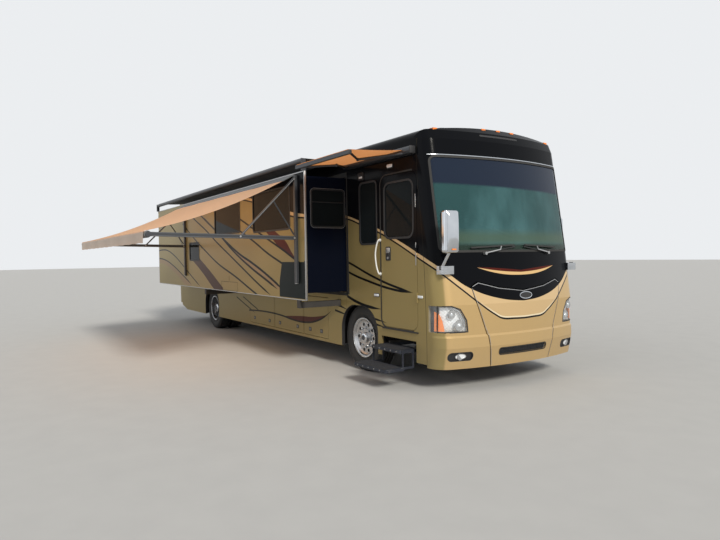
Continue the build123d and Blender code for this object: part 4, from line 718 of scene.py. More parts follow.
# a flat strip along path, standing out along outs
def addBand(bm, path, outs, width, thick, closed=False):
    rows = []
    for i, place in enumerate(path):
        before = path[i - 1] if closed or i else place
        after = path[(i + 1) % len(path)] if closed or i < len(path) - 1 else place
        out = Vector(outs[i]).normalized()
        across = (Vector(after) - Vector(before)).cross(out).normalized() * width / 2
        p = Vector(place)
        rows.append([bm.verts.new(v) for v in (p - across, p + across, p + across + out * thick,
                                               p - across + out * thick)])
    pairs = list(zip(rows, rows[1:])) + ([(rows[-1], rows[0])] if closed else [])
    for a, b in pairs:
        for k in range(4):
            bm.faces.new((a[k], a[(k + 1) % 4], b[(k + 1) % 4], b[k]))
    if not closed:
        bm.faces.new(rows[0])
        bm.faces.new(rows[-1])


def loop(x0, x1, z0, z1, radius):      # a rounded rectangle as points, its sides divided
    arc = 6      # steps in a corner
    corners = [(x1 - radius, z1 - radius, 0), (x0 + radius, z1 - radius, 90), (x0 + radius, z0 + radius, 180),
               (x1 - radius, z0 + radius, 270)]
    rounded = []
    for cx, cz, start in corners:
        for k in range(arc + 1):
            turn = math.radians(start + 90 * k / arc)
            rounded.append((cx + radius * math.cos(turn), cz + radius * math.sin(turn)))
    return divided(rounded + rounded[:1])[:-1]


def divided(points, run=0.1):      # the same line with no step longer than run
    made = []
    for (x0, z0), (x1, z1) in zip(points, points[1:]):
        steps = max(1, math.ceil(math.hypot(x1 - x0, z1 - z0) / run))
        made += [(x0 + (x1 - x0) * k / steps, z0 + (z1 - z0) * k / steps) for k in range(steps)]
    return made + [points[-1]]


def noseOut(y, z):      # the way out of the nose's skin
    step = 0.004
    return Vector((1, -(noseX(y + step, z) - noseX(y - step, z)) / (2 * step),
                   -(noseX(y, z + step) - noseX(y, z - step)) / (2 * step))).normalized()


def noseBand(bm, points, width, thick, lift=0.001, closed=False):      # points are (Y, height)
    outs = [noseOut(y, z) for y, z in points]
    path = [Vector((noseX(y, z), y, z)) + out * lift for (y, z), out in zip(points, outs)]
    addBand(bm, path, outs, width, thick, closed)


def nosePatch(bm, points, lift):      # a plate on the nose inside a loop of (Y, height)
    thick = 0.004
    middle = [sum(p[k] for p in points) / len(points) for k in (0, 1)]

    def row(share, sunk):
        made = []
        for y, z in points:
            y, z = (m + (v - m) * share for v, m in zip((y, z), middle))
            made.append(bm.verts.new(Vector((noseX(y, z), y, z)) + noseOut(y, z) * (lift - sunk)))
        return made
    count = len(points)
    rims = [row(share, 0) for share in (0.25, 0.5, 0.75, 1)] + [row(1, thick)]
    for low, high in zip(rims, rims[1:]):
        for i in range(count):
            j = (i + 1) % count
            bm.faces.new((low[i], low[j], high[j], high[i]))
    bm.faces.new(rims[0])


# a band on a side wall, or on the plane face; points are (X, height)
def sideBand(bm, points, side, width, thick, lift=0.0005, closed=False, face=coach["half"]):
    path = [(x, side * (face + lift), z) for x, z in points]
    addBand(bm, path, [(0, side, 0)] * len(path), width, thick, closed)


windows = {
    "gasket": 0.028, "proud": 0.004, "bead": 0.004, "beadIn": 0.008,
    "bar": 0.012, "barAt": 0.36, "barShort": 0.004, "wide": 0.9,
    # side, body and face; each opening's X from and to, height from and to, corner radius
    "walls": {
        "coachRight": (-1, "coach", coach["half"], [(0.030, 0.475, 1.905, 2.800, 0.07)]),
        "coachLeft": (1, "coach", coach["half"], [
            (0.65, 1.33, 1.83, 2.80, 0.07), (-1.5, -0.3, 2.0, 2.75, 0.07), (-4.3, -2.9, 2.0, 2.75, 0.07),
            (-7.8, -6.9, 2.0, 2.75, 0.07)]),
        "door": (-1, "entry_door", coach["half"], [(0.66, 1.31, 1.97, 2.73, 0.11)]),
        "room": (-1, "slide_room", coach["roomFace"], [
            (-4.32, -2.93, 2.2, 2.85, 0.06), (-2.31, -0.85, 2.17, 2.83, 0.06),
            (-6.08, -5.38, 1.69, 2.08, 0.04)]),
    },
    "end": {"x": -0.375, "y": (-1.88, -1.31), "z": (2.18, 2.74), "radius": 0.05, "bar": 2.55},
}


def makeWindowFrames():
    for name, (side, body, face, rows) in windows["walls"].items():
        bm, bright = bmesh.new(), bmesh.new()
        for x0, x1, z0, z1, radius in rows:
            ring = loop(x0, x1, z0, z1, radius)
            sideBand(bm, ring, side, windows["gasket"], windows["proud"], closed=True, face=face)
            inset = windows["beadIn"]
            inner = loop(x0 + inset, x1 - inset, z0 + inset, z1 - inset, radius)
            sideBand(bright, inner, side, windows["bead"], 0.006, lift=-0.009, closed=True, face=face)
            if side > 0 and x1 - x0 > windows["wide"]:      # a sliding pane under a fixed one
                barZ, middle = z0 + (z1 - z0) * windows["barAt"], (x0 + x1) / 2
                short = windows["barShort"]
                for bar in ([(x0 + short, barZ), (x1 - short, barZ)], [(middle, z0 + short), (middle, barZ)]):
                    sideBand(bm, bar, side, windows["bar"], 0.006, lift=-0.010, face=face)
        seat(f"{name}WindowGaskets", bm, "blackPlastic", body)
        seat(f"{name}WindowBeads", bright, "darkAlloy", body)
    bm, bright = bmesh.new(), bmesh.new()
    end = windows["end"]
    (y0, y1), (z0, z1) = end["y"], end["z"]
    for target, grow, width, thick in ((bm, 0.002, 0.03, 0.005), (bright, 0.016, 0.004, 0.007)):
        ring = loop(y0 - grow, y1 + grow, z0 - grow, z1 + grow, end["radius"] + grow)
        path = [(end["x"] + 0.0005, y, z) for y, z in ring]
        addBand(target, path, [(1, 0, 0)] * len(ring), width, thick, True)
    addBand(bm, [(end["x"] - 0.009, y, end["bar"]) for y in (y0, y1)], [(1, 0, 0)] * 2, 0.014, 0.008)
    seat("endWindowGasket", bm, "blackPlastic", "slide_room")
    seat("endWindowBead", bright, "satinAlloy", "slide_room")


screen = {"half": 1.205, "low": 1.772, "high": 2.995, "radius": 0.07, "gasket": 0.03,
          "trim": [(-1.22, 3.016), (1.22, 3.016)], "trimWide": 0.010,
          "slot": (-0.416, 0.283, 3.296, 3.322, 0.012)}


def makeScreenTrim():
    ring = loop(-screen["half"], screen["half"], screen["low"], screen["high"], screen["radius"])
    single("windshieldGasket", "rubber", "coach", noseBand, ring, screen["gasket"], 0.005, closed=True)
    single("windshieldTrim", "chrome", "coach", noseBand, divided(screen["trim"]), screen["trimWide"], 0.008)
    single("browSlot", "blackPlastic", "coach", nosePatch, loop(*screen["slot"]), 0.003)


hatch = {"top": [(-0.822, 1.325), (-0.737, 1.368), (-0.43, 1.293), (0, 1.243), (0.43, 1.293), (0.737, 1.368),
                 (0.822, 1.325)],
         "side": [(0.828, 1.30), (0.782, 1.15), (0.61, 0.69), (0.548, 0.31)],
         "badge": (0.04, 1.185, 0.115, 0.043),      # Y, height, half width, half height
         "grille": (-0.452, 0.452, 0.428, 0.532, 0.03), "rim": (-0.444, 0.444, 0.436, 0.524, 0.034),
         "bars": 5, "barLow": 0.448, "barStep": 0.016, "barHalf": 0.436,
         "posts": 23, "postFirst": -0.418, "postStep": 0.038, "postEnds": (0.444, 0.516), "wire": 0.004}


def ovalPath(y, z, halfWide, halfTall):
    return [(y + halfWide * math.cos(a / 20 * math.pi), z + halfTall * math.sin(a / 20 * math.pi))
            for a in range(40)]


def makeHatchTrim():
    bm = bmesh.new()
    noseBand(bm, divided(hatch["top"]), 0.007, 0.003)
    for side in (-1, 1):
        noseBand(bm, divided([(side * y, z) for y, z in hatch["side"]]), 0.005, 0.003)
    seat("hatchEdge", bm, "satinAlloy", "front_hatch")
    oval = ovalPath(*hatch["badge"])
    single("hatchBadgePlate", "blackPlastic", "front_hatch", nosePatch, oval, 0.006)
    single("hatchBadgeRim", "chrome", "front_hatch", noseBand, oval, 0.009, 0.009, closed=True)
    single("lowerGrilleBack", "blackPlastic", "front_hatch", nosePatch, loop(*hatch["grille"]), -0.030)
    bm = bmesh.new()
    for k in range(hatch["bars"]):
        z = hatch["barLow"] + k * hatch["barStep"]
        bar = divided([(-hatch["barHalf"], z), (hatch["barHalf"], z)])
        noseBand(bm, bar, hatch["wire"], 0.01, lift=-0.018)
    for k in range(hatch["posts"]):
        y = hatch["postFirst"] + k * hatch["postStep"]
        noseBand(bm, [(y, z) for z in hatch["postEnds"]], hatch["wire"], 0.008, lift=-0.020)
    seat("lowerGrille", bm, "darkAlloy", "front_hatch")
    single("lowerGrilleRim", "rubber", "front_hatch", noseBand, loop(*hatch["rim"]), 0.012, 0.005,
           closed=True)


lamp = {"outline": [(1.262, 0.760), (0.909, 0.760), (0.929, 0.906), (1.017, 1.047), (1.132, 1.088),
                    (1.262, 1.088)],
        "beams": [(1.015, 0.845, 0.066), (1.115, 0.985, 0.052)],      # Y, height, radius
        "turn": [(1.206, 0.774), (1.279, 0.774), (1.279, 1.02), (1.250, 0.985), (1.226, 0.90),
                 (1.206, 0.774)],
        "brow": [(0.945, 0.775), (0.962, 0.90), (1.035, 1.028), (1.12, 1.066)],
        "seal": 0.016, "back": -0.058, "beamBack": -0.056}


def makeHeadlampInsides():
    for side, name in ((-1, "Right"), (1, "Left")):
        edge, turn, brow = ([(side * y, z) for y, z in lamp[k]] for k in ("outline", "turn", "brow"))
        ring = divided(edge + edge[:1], 0.06)[:-1]
        single(f"headlamp{name}Seal", "blackPlastic", "coach", noseBand, ring, lamp["seal"], 0.0045,
               lift=-0.003, closed=True)
        single(f"headlamp{name}Back", "reflector", "coach", nosePatch, edge, lamp["back"])
        bowls, rings, bulbs = bmesh.new(), bmesh.new(), bmesh.new()
        for y, z, radius in lamp["beams"]:
            y *= side
            out = noseOut(y, z).lerp(Vector((1, 0, 0)), 0.7).normalized()
            start = Vector((noseX(y, z) + lamp["beamBack"], y, z))
            addRod(bowls, start, start + out * 0.034, radius * 0.55, 32, radius, caps=False)
            addRod(rings, start + out * 0.030, start + out * 0.040, radius * 1.08, 32, radius * 1.02)
            addBall(bulbs, start + out * 0.022, radius * 0.55, 28)
        seat(f"headlamp{name}Bowls", bowls, "reflector", "coach")
        seat(f"headlamp{name}Rings", rings, "satinAlloy", "coach")
        seat(f"headlamp{name}Beams", bulbs, "beamGlass", "coach")
        single(f"turnLamp{name}", "amberLens", "coach", nosePatch, divided(turn, 0.02)[:-1], -0.009)
        single(f"headlamp{name}Brow", "chrome", "coach", noseBand, divided(brow, 0.04), 0.012, 0.006,
               lift=-0.016)


fog = {"y": 1.01, "z": 0.452, "half": 0.168, "tall": 0.053, "corner": 0.047, "ring": 0.047,
       "lensHalf": 0.072, "lensTall": 0.034, "floor": -0.018}


def makeFogLamps():
    for side, name in ((-1, "Right"), (1, "Left")):
        y, z = side * fog["y"], fog["z"]
        pocket = loop(y - fog["half"], y + fog["half"], z - fog["tall"], z + fog["tall"], fog["corner"])
        bm = bmesh.new()
        nosePatch(bm, pocket, fog["floor"])
        noseBand(bm, pocket, 0.010, 0.019, lift=fog["floor"], closed=True)
        seat(f"fogPocket{name}", bm, "blackPlastic", "coach")
        ring, lens = bmesh.new(), bmesh.new()
        front = noseX(y, z) - 0.012
        addRod(ring, (front - 0.004, y, z), (front + 0.002, y, z), fog["ring"], 36)
        oval = ovalPath(y, z, fog["lensHalf"], fog["lensTall"])
        nosePatch(lens, oval, -0.0085)
        noseBand(ring, oval, 0.007, 0.008, lift=-0.0125, closed=True)
        seat(f"fogRing{name}", ring, "satinAlloy", "coach")
        seat(f"fogLens{name}", lens, "paleLens", "coach")


# head: middle of the right one's bright back, and of the left one's, which is folded along the wall
mirror = {"right": (2.0590, -1.268, 2.010), "left": (1.442, 1.4160, 2.010), "wide": 0.176, "tall": 0.474,
          "bulge": 0.034, "rows": 18, "ribs": 5, "ribLow": 1.502, "ribStep": 0.019, "ribTall": 0.008,
          "footX": (1.748, 1.876), "footY": (1.20, 1.268), "glass": (1.766, 2.254), "arm": (1.815, 1.244),
          "armFoot": (1.545, 1.60), "armRadius": 0.027}


def addShell(bm, middle, across, out):      # a pillow on a mirror's back
    rows = mirror["rows"]
    grid = []
    for i in range(rows + 1):
        line = []
        for j in range(rows + 1):
            u, v = 2 * i / rows - 1, 2 * j / rows - 1
            lift = mirror["bulge"] * math.sqrt(max(0, (1 - abs(u) ** 4) * (1 - abs(v) ** 3)))
            up = Vector((0, 0, v * mirror["tall"] / 2))
            line.append(bm.verts.new(Vector(middle) + across * (u * mirror["wide"] / 2) + up + out * lift))
        grid.append(line)
    for a, b in zip(grid, grid[1:]):
        for j in range(rows):
            bm.faces.new((a[j], a[j + 1], b[j + 1], b[j]))


def makeMirrorDetails():
    ribs, edge, amber, shell = (bmesh.new() for _ in range(4))
    (x0, x1), (y0, y1) = mirror["footX"], mirror["footY"]
    for k in range(mirror["ribs"]):
        z = mirror["ribLow"] + k * mirror["ribStep"]
        for low, high in ((-y1, -y0), (y0, y1)):
            addBox(ribs, (x0, low, z), (x1, high, z + mirror["ribTall"]), 0.003)
    seat("mirrorFootRibs", ribs, "chrome", "coach")
    addShell(shell, mirror["right"], Vector((0, 1, 0)), Vector((1, 0, 0)))
    addShell(shell, mirror["left"], Vector((1, 0, 0)), Vector((0, 1, 0)))
    seat("mirrorShells", shell, "chrome", "coach", smooth=60)
    ring = loop(-1.364, -1.172, *mirror["glass"], 0.034)
    addBand(edge, [(1.9555, y, z) for y, z in ring], [(-1, 0, 0)] * len(ring), 0.016, 0.006, True)
    addBox(edge, (1.953, -1.360, 2.005), (1.9555, -1.176, 2.013))
    ring = loop(1.346, 1.538, *mirror["glass"], 0.034)
    addBand(edge, [(x, 1.3125, z) for x, z in ring], [(0, -1, 0)] * len(ring), 0.016, 0.006, True)
    armX, armY = mirror["arm"]
    low, high = mirror["armFoot"]
    for y in (-armY, armY):
        addRod(edge, (armX, y, low), (armX, y, high), mirror["armRadius"], 24)
    seat("mirrorEdges", edge, "blackPlastic", "coach")
    addBox(amber, (2.0585, -1.30, 1.787), (2.0825, -1.236, 1.803), 0.0015)
    addBox(amber, (1.41, 1.4155, 1.787), (1.474, 1.4395, 1.803), 0.0015)
    seat("mirrorTurnLamps", amber, "amberLens", "coach")


# blades run from near a side to the middle; each arm from its pivot to its blade, as (Y, height)
wiper = {"blade": [(0.80, 1.812), (0.10, 1.846)], "arm": [(0.60, 1.745), (0.36, 1.786), (0.34, 1.83)],
         "pivot": 0.021, "rubber": (0.008, 0.022, 0.002), "spine": (0.018, 0.008, 0.022)}


def makeWiperBlades():
    blades, arms = bmesh.new(), bmesh.new()
    for side in (-1, 1):
        blade, arm = ([(side * y, z) for y, z in wiper[k]] for k in ("blade", "arm"))
        row = divided(blade if side < 0 else blade[::-1], 0.06)
        for width, thick, lift in (wiper["rubber"], wiper["spine"]):
            noseBand(blades, row, width, thick, lift=lift)
        noseBand(arms, divided(arm, 0.06), 0.013, 0.007, lift=0.034)
        y, z = arm[0]
        skin = noseX(y, z)
        addRod(arms, (skin + 0.002, y, z), (skin + 0.046, y, z), wiper["pivot"], 24)
    seat("wiperBlades", blades, "rubber", "coach")
    seat("wiperArms", arms, "satinAlloy", "coach")


door = {"rear": 0.585, "front": 1.385, "low": 0.747, "high": 2.830, "radius": 0.12, "seal": 0.020,
        "leafX": (1.352, 1.368), "leaves": [(2.355, 2.53), (1.60, 1.77), (1.83, 1.90)],
        "plate": (0.690, 0.806, 1.662, 1.856), "paddle": (0.706, 0.790, 1.768, 1.84),
        "key": (0.748, 1.70), "keyRadius": 0.016,
        "handle": [(0.556, -1.286, 1.952), (0.548, -1.312, 1.948), (0.520, -1.326, 1.870),
                   (0.497, -1.330, 1.745), (0.515, -1.326, 1.590), (0.548, -1.312, 1.484),
                   (0.556, -1.286, 1.478)],
        "grip": 0.0105, "flange": 0.024}


def makeDoorTrim():
    bm = bmesh.new()
    grow = door["seal"]
    ring = loop(door["rear"] - grow, door["front"] + grow, door["low"] - grow, door["high"] + grow,
                door["radius"] + grow)
    rear = [p for p in ring if p[0] < door["front"] - 0.05]      # open at the hinges
    rear.sort(key=lambda p: math.atan2(p[1] - 1.8, p[0] - 1.3) % (2 * math.pi))
    sideBand(bm, rear, -1, 0.022, 0.003)
    addBox(bm, (0.60, -1.302, 0.712), (1.40, -1.2835, 0.730), 0.004)
    seat("doorSurround", bm, "rubber", "coach")
    bm = bmesh.new()
    x0, x1 = door["leafX"]
    for low, high in door["leaves"]:
        addBox(bm, (x0, -1.2868, low), (x1, -1.2838, high), 0.001)
    seat("doorHingeLeaves", bm, "satinAlloy", "entry_door")
    single("doorLockPlate", "blackPlastic", "entry_door", addPlate, rect(*door["plate"]),
           at(0, -1.284, 0) @ rightSide, 0.006, 0.02, 0.002)
    pull = bmesh.new()
    addPlate(pull, rect(*door["paddle"]), at(0, -1.290, 0) @ rightSide, 0.008, 0.014, 0.002)
    x, z = door["key"]
    addRod(pull, (x, -1.290, z), (x, -1.298, z), door["keyRadius"], 24)
    seat("doorLockPaddle", pull, "satinAlloy", "entry_door")
    bm = bmesh.new()
    addPipe(bm, smoothPath(door["handle"]), door["grip"], 14)
    for x, _, z in (door["handle"][0], door["handle"][-1]):
        addRod(bm, (x, -1.2845, z), (x, -1.291, z), door["flange"], 20)
    seat("grabHandle", bm, "whitePlastic", "coach")


def smoothPath(points):      # a smooth curve through points
    parts = 5      # between each two points
    made = []
    rows = [Vector(p) for p in points]
    for i in range(len(rows) - 1):
        a, b = rows[i], rows[i + 1]
        before = rows[i - 1] if i else a * 2 - b
        after = rows[i + 2] if i + 2 < len(rows) else b * 2 - a
        for k in range(parts):
            t = k / parts
            made.append(0.5 * (2 * a + (b - before) * t + (2 * before - 5 * a + 4 * b - after) * t * t
                               + (3 * a - before - 3 * b + after) * t ** 3))
    return [tuple(p) for p in made] + [tuple(rows[-1])]


# lamps on the right wall: base and lens as X from, to, height from, to; how far each stands out
sideLamps = [((0.388, 0.520, 1.146, 1.196), (0.006, 0.012, 0.002),
              (0.398, 0.510, 1.154, 1.188), 1.290, (0.006, 0.010, 0.002)),
             ((0.742, 0.892, 2.925, 2.995), (0.008, 0.014, 0.002),
              (0.756, 0.878, 2.938, 2.982), 1.292, (0.010, 0.014, 0.003)),
             ((0.010, 0.158, 2.846, 2.958), (0.012, 0.012, 0.003),
              (0.040, 0.128, 2.872, 2.900), 1.296, (0.004, 0.006, 0.001))]
marker = {"half": 0.055, "tall": 0.034, "front": (1.44, 1.176), "amber": [-0.70, -4.6, -8.95], "low": 0.965}


def makeSideLamps():
    pale, dark, amber, bright = (bmesh.new() for _ in range(4))
    for base, (depth, corner, bevel), lens, out, (lensDepth, lensCorner, lensBevel) in sideLamps:
        addPlate(dark, rect(*base), at(0, -1.284, 0) @ rightSide, depth, corner, bevel)
        addPlate(pale, rect(*lens), at(0, -out, 0) @ rightSide, lensDepth, lensCorner, lensBevel)
    for side, stand in ((-1, rightSide), (1, leftSide)):
        spots = [(*marker["front"], bright)] + [(x, marker["low"], amber) for x in marker["amber"]]
        for x, z, target in spots:
            x *= -side
            spot = rect(x - marker["half"], x + marker["half"], z, z + marker["tall"])
            addPlate(target, spot, at(0, side * 1.284, 0) @ stand, 0.010, 0.010, 0.003)
    seat("sideLampBases", dark, "blackPlastic", "coach")
    seat("sideLampLenses", pale, "paleLens", "coach")
    seat("sideMarkers", amber, "amberLens", "coach")
    seat("sidePlates", bright, "paleLens", "coach")


room = {"rear": -8.81, "front": -0.375, "low": 1.19, "high": 2.93, "side": 0.025, "bottom": 1.08, "top": 3.0,
        "seal": 0.075, "sealGap": 0.012, "hatch": (-4.00, -3.10, 1.10, 1.269, 0.02)}


def makeRoomTrim():
    bm = bmesh.new()
    gap, wide = room["sealGap"], room["seal"]
    x0, x1 = room["rear"] - gap - wide / 2, room["front"] + gap + wide / 2
    z0, z1 = room["low"] - gap - 0.03, room["high"] + gap + wide / 2
    sideBand(bm, [(x1, z0), (x1, z1), (x0, z1), (x0, z0)], -1, wide, 0.005)
    sideBand(bm, [(x0, z0), (x1, z0)], -1, 0.05, 0.005)
    seat("roomSeal", bm, "rubber", "coach")
    bm = bmesh.new()
    edge, back = room["front"] + room["side"], room["rear"] - room["side"]
    low, high = room["bottom"], room["top"]
    for start, end in (((edge, -2.005, low), (edge + 0.003, -1.975, high)),
                       ((edge - 0.014, -2.0055, low), (edge + 0.003, -2.0025, high)),
                       ((back - 0.003, -2.0055, low), (back + 0.014, -2.0025, high)),
                       ((back, -2.0055, high - 0.012), (edge, -2.0025, high + 0.002)),
                       ((back, -2.0055, low - 0.002), (edge, -2.0025, low + 0.010))):
        addBox(bm, start, end, 0.001)
    seat("roomCornerTrim", bm, "satinAlloy", "slide_room")
    bm = bmesh.new()
    sideBand(bm, loop(*room["hatch"]), -1, 0.006, 0.0012, closed=True, face=coach["roomFace"])
    addBox(bm, (-3.546, -2.0050, 1.291), (-3.540, -2.0025, 1.388))
    seat("roomHatchSeam", bm, "rubber", "slide_room")


arch = {"out": 1.262, "middle": -0.03, "foot": (0.496, 0.335), "bend": (0.106, 0.601), "radius": 0.39,
        "steps": 12, "wide": 0.050}


def makeArchLips():
    (footX, footZ), (bendX, bendZ), radius = arch["foot"], arch["bend"], arch["radius"]
    for side, name in ((-1, "Right"), (1, "Left")):
        bm = bmesh.new()
        for axle in (0, -coach["wheelbase"]):
            mid = axle + arch["middle"]
            curve = [(mid - footX, footZ)]
            for k in range(arch["steps"] + 1):
                turn = math.radians(180 - 90 * k / arch["steps"])
                curve.append((mid - bendX + radius * math.cos(turn), bendZ + radius * math.sin(turn)))
            curve += [(2 * mid - x, z) for x, z in reversed(curve)]
            path = [(x, side * arch["out"], z) for x, z in divided(curve, 0.12)]
            outs = []
            for i in range(len(path)):
                along = Vector(path[min(i + 1, len(path) - 1)]) - Vector(path[max(i - 1, 0)])
                outs.append((along.z, 0, -along.x))
            addBand(bm, path, outs, arch["wide"], 0.006)
        seat(f"archLips{name}", bm, "blackPlastic", "coach")


# thin linings: X from and to over each wheel, and where the left front one ends
wells = {"arches": [(-0.640, 0.518), (-7.255, -6.130)], "leftEnd": 0.610, "inner": 0.600, "outer": 1.246,
         "low": 0.34, "backLow": 0.40, "top": 1.030, "skin": 0.003}
# the housing's inner wall behind the steps: whole parts, and parts with a gap for a guide bar
housing = {"whole": [(0.583, 0.625), (0.675, 1.205), (1.255, 1.345)],
           "barred": [(0.625, 0.675), (1.205, 1.255)],
           "gap": (0.445, 0.535), "wall": (-0.606, -0.602), "low": 0.34, "high": 0.600}


def makeWheelWells():
    inner, outer, low, top, skin = (wells[k] for k in ("inner", "outer", "low", "top", "skin"))
    for side, name in ((-1, "Right"), (1, "Left")):
        panels = []      # X from, to, Y from, to, height from, to
        for rear, front in wells["arches"]:
            panels += [(rear, front, inner, outer, top, top + skin),
                       (rear - skin, rear, inner, outer, low, top),
                       (rear, front, inner - skin, inner, wells["backLow"], top)]
        panels.append((front, front + skin, inner, outer, low, top))
        if side > 0:
            end, start = wells["leftEnd"], wells["arches"][0][1]
            panels += [(end, end + skin, inner, outer, low, top), (start, end, inner, outer, top, top + skin)]
        bm = bmesh.new()
        for x0, x1, y0, y1, z0, z1 in panels:
            y0, y1 = sorted((side * y0, side * y1))
            addBox(bm, (x0, y0, z0), (x1, y1, z1))
        seat(f"wheelWells{name}", bm, "wellLining", "coach")
    bm = bmesh.new()
    (y0, y1), low, high = housing["wall"], housing["low"], housing["high"]
    gapLow, gapHigh = housing["gap"]
    parts = [(x0, x1, low, high) for x0, x1 in housing["whole"]]
    for x0, x1 in housing["barred"]:
        parts += [(x0, x1, gapHigh, high), (x0, x1, low, gapLow)]
    for x0, x1, z0, z1 in parts:
        addBox(bm, (x0, y0, z0), (x1, y1, z1))
    addBox(bm, (0.583, -outer, 0.604), (1.345, y0, 0.608))
    addBox(bm, (1.341, -outer, low), (1.345, y0, 0.604))
    seat("stepHousing", bm, "wellLining", "coach")


# each bay door with its X from and to and its side; sizes are half widths with heights from and to
latch = {"bays": [("bay_door_right_front", -1.83, -0.95, -1), ("bay_door_right_middle", -3.05, -1.83, -1),
                  ("bay_door_right_rear", -4.27, -3.05, -1), ("bay_door_left_front", -2.4, -0.95, 1),
                  ("bay_door_left_rear", -4.27, -2.4, 1)],
         "inset": 0.24, "plate": (0.045, 0.455, 0.520), "paddle": (0.032, 0.468, 0.507)}


def makeBayLatches():
    for name, rear, front, side in latch["bays"]:
        plate, pull = bmesh.new(), bmesh.new()
        stand = rightSide if side < 0 else leftSide
        for x in (rear + latch["inset"], front - latch["inset"]):
            x *= -side
            half, low, high = latch["plate"]
            addPlate(plate, rect(x - half, x + half, low, high), at(0, side * 1.284, 0) @ stand, 0.002, 0.012)
            half, low, high = latch["paddle"]
            spot = rect(x - half, x + half, low, high)
            addPlate(pull, spot, at(0, side * 1.286, 0) @ stand, 0.003, 0.008, 0.001)
        seat(f"{name}LatchPlates", plate, "blackPlastic", name)
        seat(f"{name}LatchPaddles", pull, "slatAlloy", name)


# boards: X from, to, Y from, to, top; screws: Y of face and head, height
treads = {"boards": [(0.672, 1.208, -1.476, -1.215, 0.500), (0.600, 1.315, -1.746, -1.505, 0.285)],
          "pitch": 0.032, "half": 0.007, "thick": 0.0014, "nose": (0.020, 0.008),
          "screws": [(-1.4995, -1.503, 0.478), (-1.7695, -1.773, 0.263)],
          "count": 5, "first": 0.68, "step": 0.13, "radius": 0.008}


def makeStepTreads():
    bm = bmesh.new()
    half, thick, nose = treads["half"], treads["thick"], treads["nose"]
    for x0, x1, y0, y1, top in treads["boards"]:
        rows = int((x1 - x0) / treads["pitch"])
        for k in range(rows):
            x = x0 + (x1 - x0) * (k + 0.5) / rows
            addBox(bm, (x - half, y0, top), (x + half, y1, top + thick))
        addBox(bm, (x0, y0 - nose[0], top), (x1, y0 - nose[1], top + thick))
    seat("stepTreadStrips", bm, "gripStrip", "entry_steps")
    bm = bmesh.new()
    for k in range(treads["count"]):
        x = treads["first"] + k * treads["step"]
        for face, head, z in treads["screws"]:
            addRod(bm, (x, face, z), (x, head, z), treads["radius"], 16)
    seat("stepScrews", bm, "chrome", "entry_steps")


# the tyre's section as (across, radius): half of its outside, the tread's grooves, the inside, two ribs
tyre = {"half": [(0.095, 0.286), (0.118, 0.304), (0.130, 0.352), (0.1365, 0.392), (0.1365, 0.420),
                 (0.131, 0.452), (0.120, 0.484), (0.113, 0.4955), (0.102, 0.5005), (0.080, 0.5022)],
        "grooves": (0.070, 0.0245), "grooveTop": 0.006, "grooveFoot": 0.004, "grooveFloor": 0.4915,
        "tread": (0.5032, 0.5045), "inside": [(-0.06, 0.318), (0.0, 0.348), (0.06, 0.318)],
        "ribs": [[(0.1245, 0.327), (0.1305, 0.330), (0.1285, 0.334)],
                 [(0.1335, 0.459), (0.1375, 0.462), (0.1335, 0.466)]],
        "steps": 72}


def axlePlace(front, word):      # an axle's X, and the body of its wheel or wheels on one side
    return (0, f"wheel_front_{word}") if front else (-coach["wheelbase"], f"wheels_rear_{word}")


def makeTyres():
    tread = []
    top, foot, floor = tyre["grooveTop"], tyre["grooveFoot"], tyre["grooveFloor"]
    for middle in tyre["grooves"]:
        tread += [(middle + top, tyre["tread"][0]), (middle + foot, floor), (middle - foot, floor),
                  (middle - top, tyre["tread"][1])]
    half = tyre["half"] + tread
    profile = half + [(-a, b) for a, b in reversed(half)] + tyre["inside"] + half[:1]
    for front in (True, False):
        for side, word in ((-1, "right"), (1, "left")):
            x, body = axlePlace(front, word)
            bm = bmesh.new()
            outer = coach["wheelY"]
            for y in (outer,) if front else (outer, outer - coach["twinStep"]):
                addSpin(bm, profile, x, side * y, tyre["steps"])
                for way in (-1, 1):
                    for rib in tyre["ribs"]:
                        addSpin(bm, rib, x, side * y, tyre["steps"], way)
            node = f"front_tyre_{word}" if front else f"rear_tyres_{word}"
            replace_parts(seat(f"{node}Tread", bm, "rubber", body, smooth=40), node)


# a wheel's disc face, ring of nuts, hub's reach and radius, in front and behind
wheel = {"Front": {"disc": 0.084, "ring": 0.148, "hubOut": 0.128, "hub": 0.078},
         "Rear": {"disc": -0.096, "ring": 0.205, "hubOut": 0.080, "hub": 0.095},
         "nuts": 10, "nut": 0.0155, "nutTall": 0.022, "nutTip": 0.034, "hole": 0.030, "holeRing": 0.2,
         "hubNuts": 8, "hubNut": 0.007, "edge": 0.2915, "edgeOut": 0.1225}


def ringPath(x, y, z, radius, count, first=0.0):      # places on an upright circle beside the coach
    turns = [2 * math.pi * (k + first) / count for k in range(count)]
    return [(x + radius * math.cos(turn), y, z + radius * math.sin(turn)) for turn in turns]


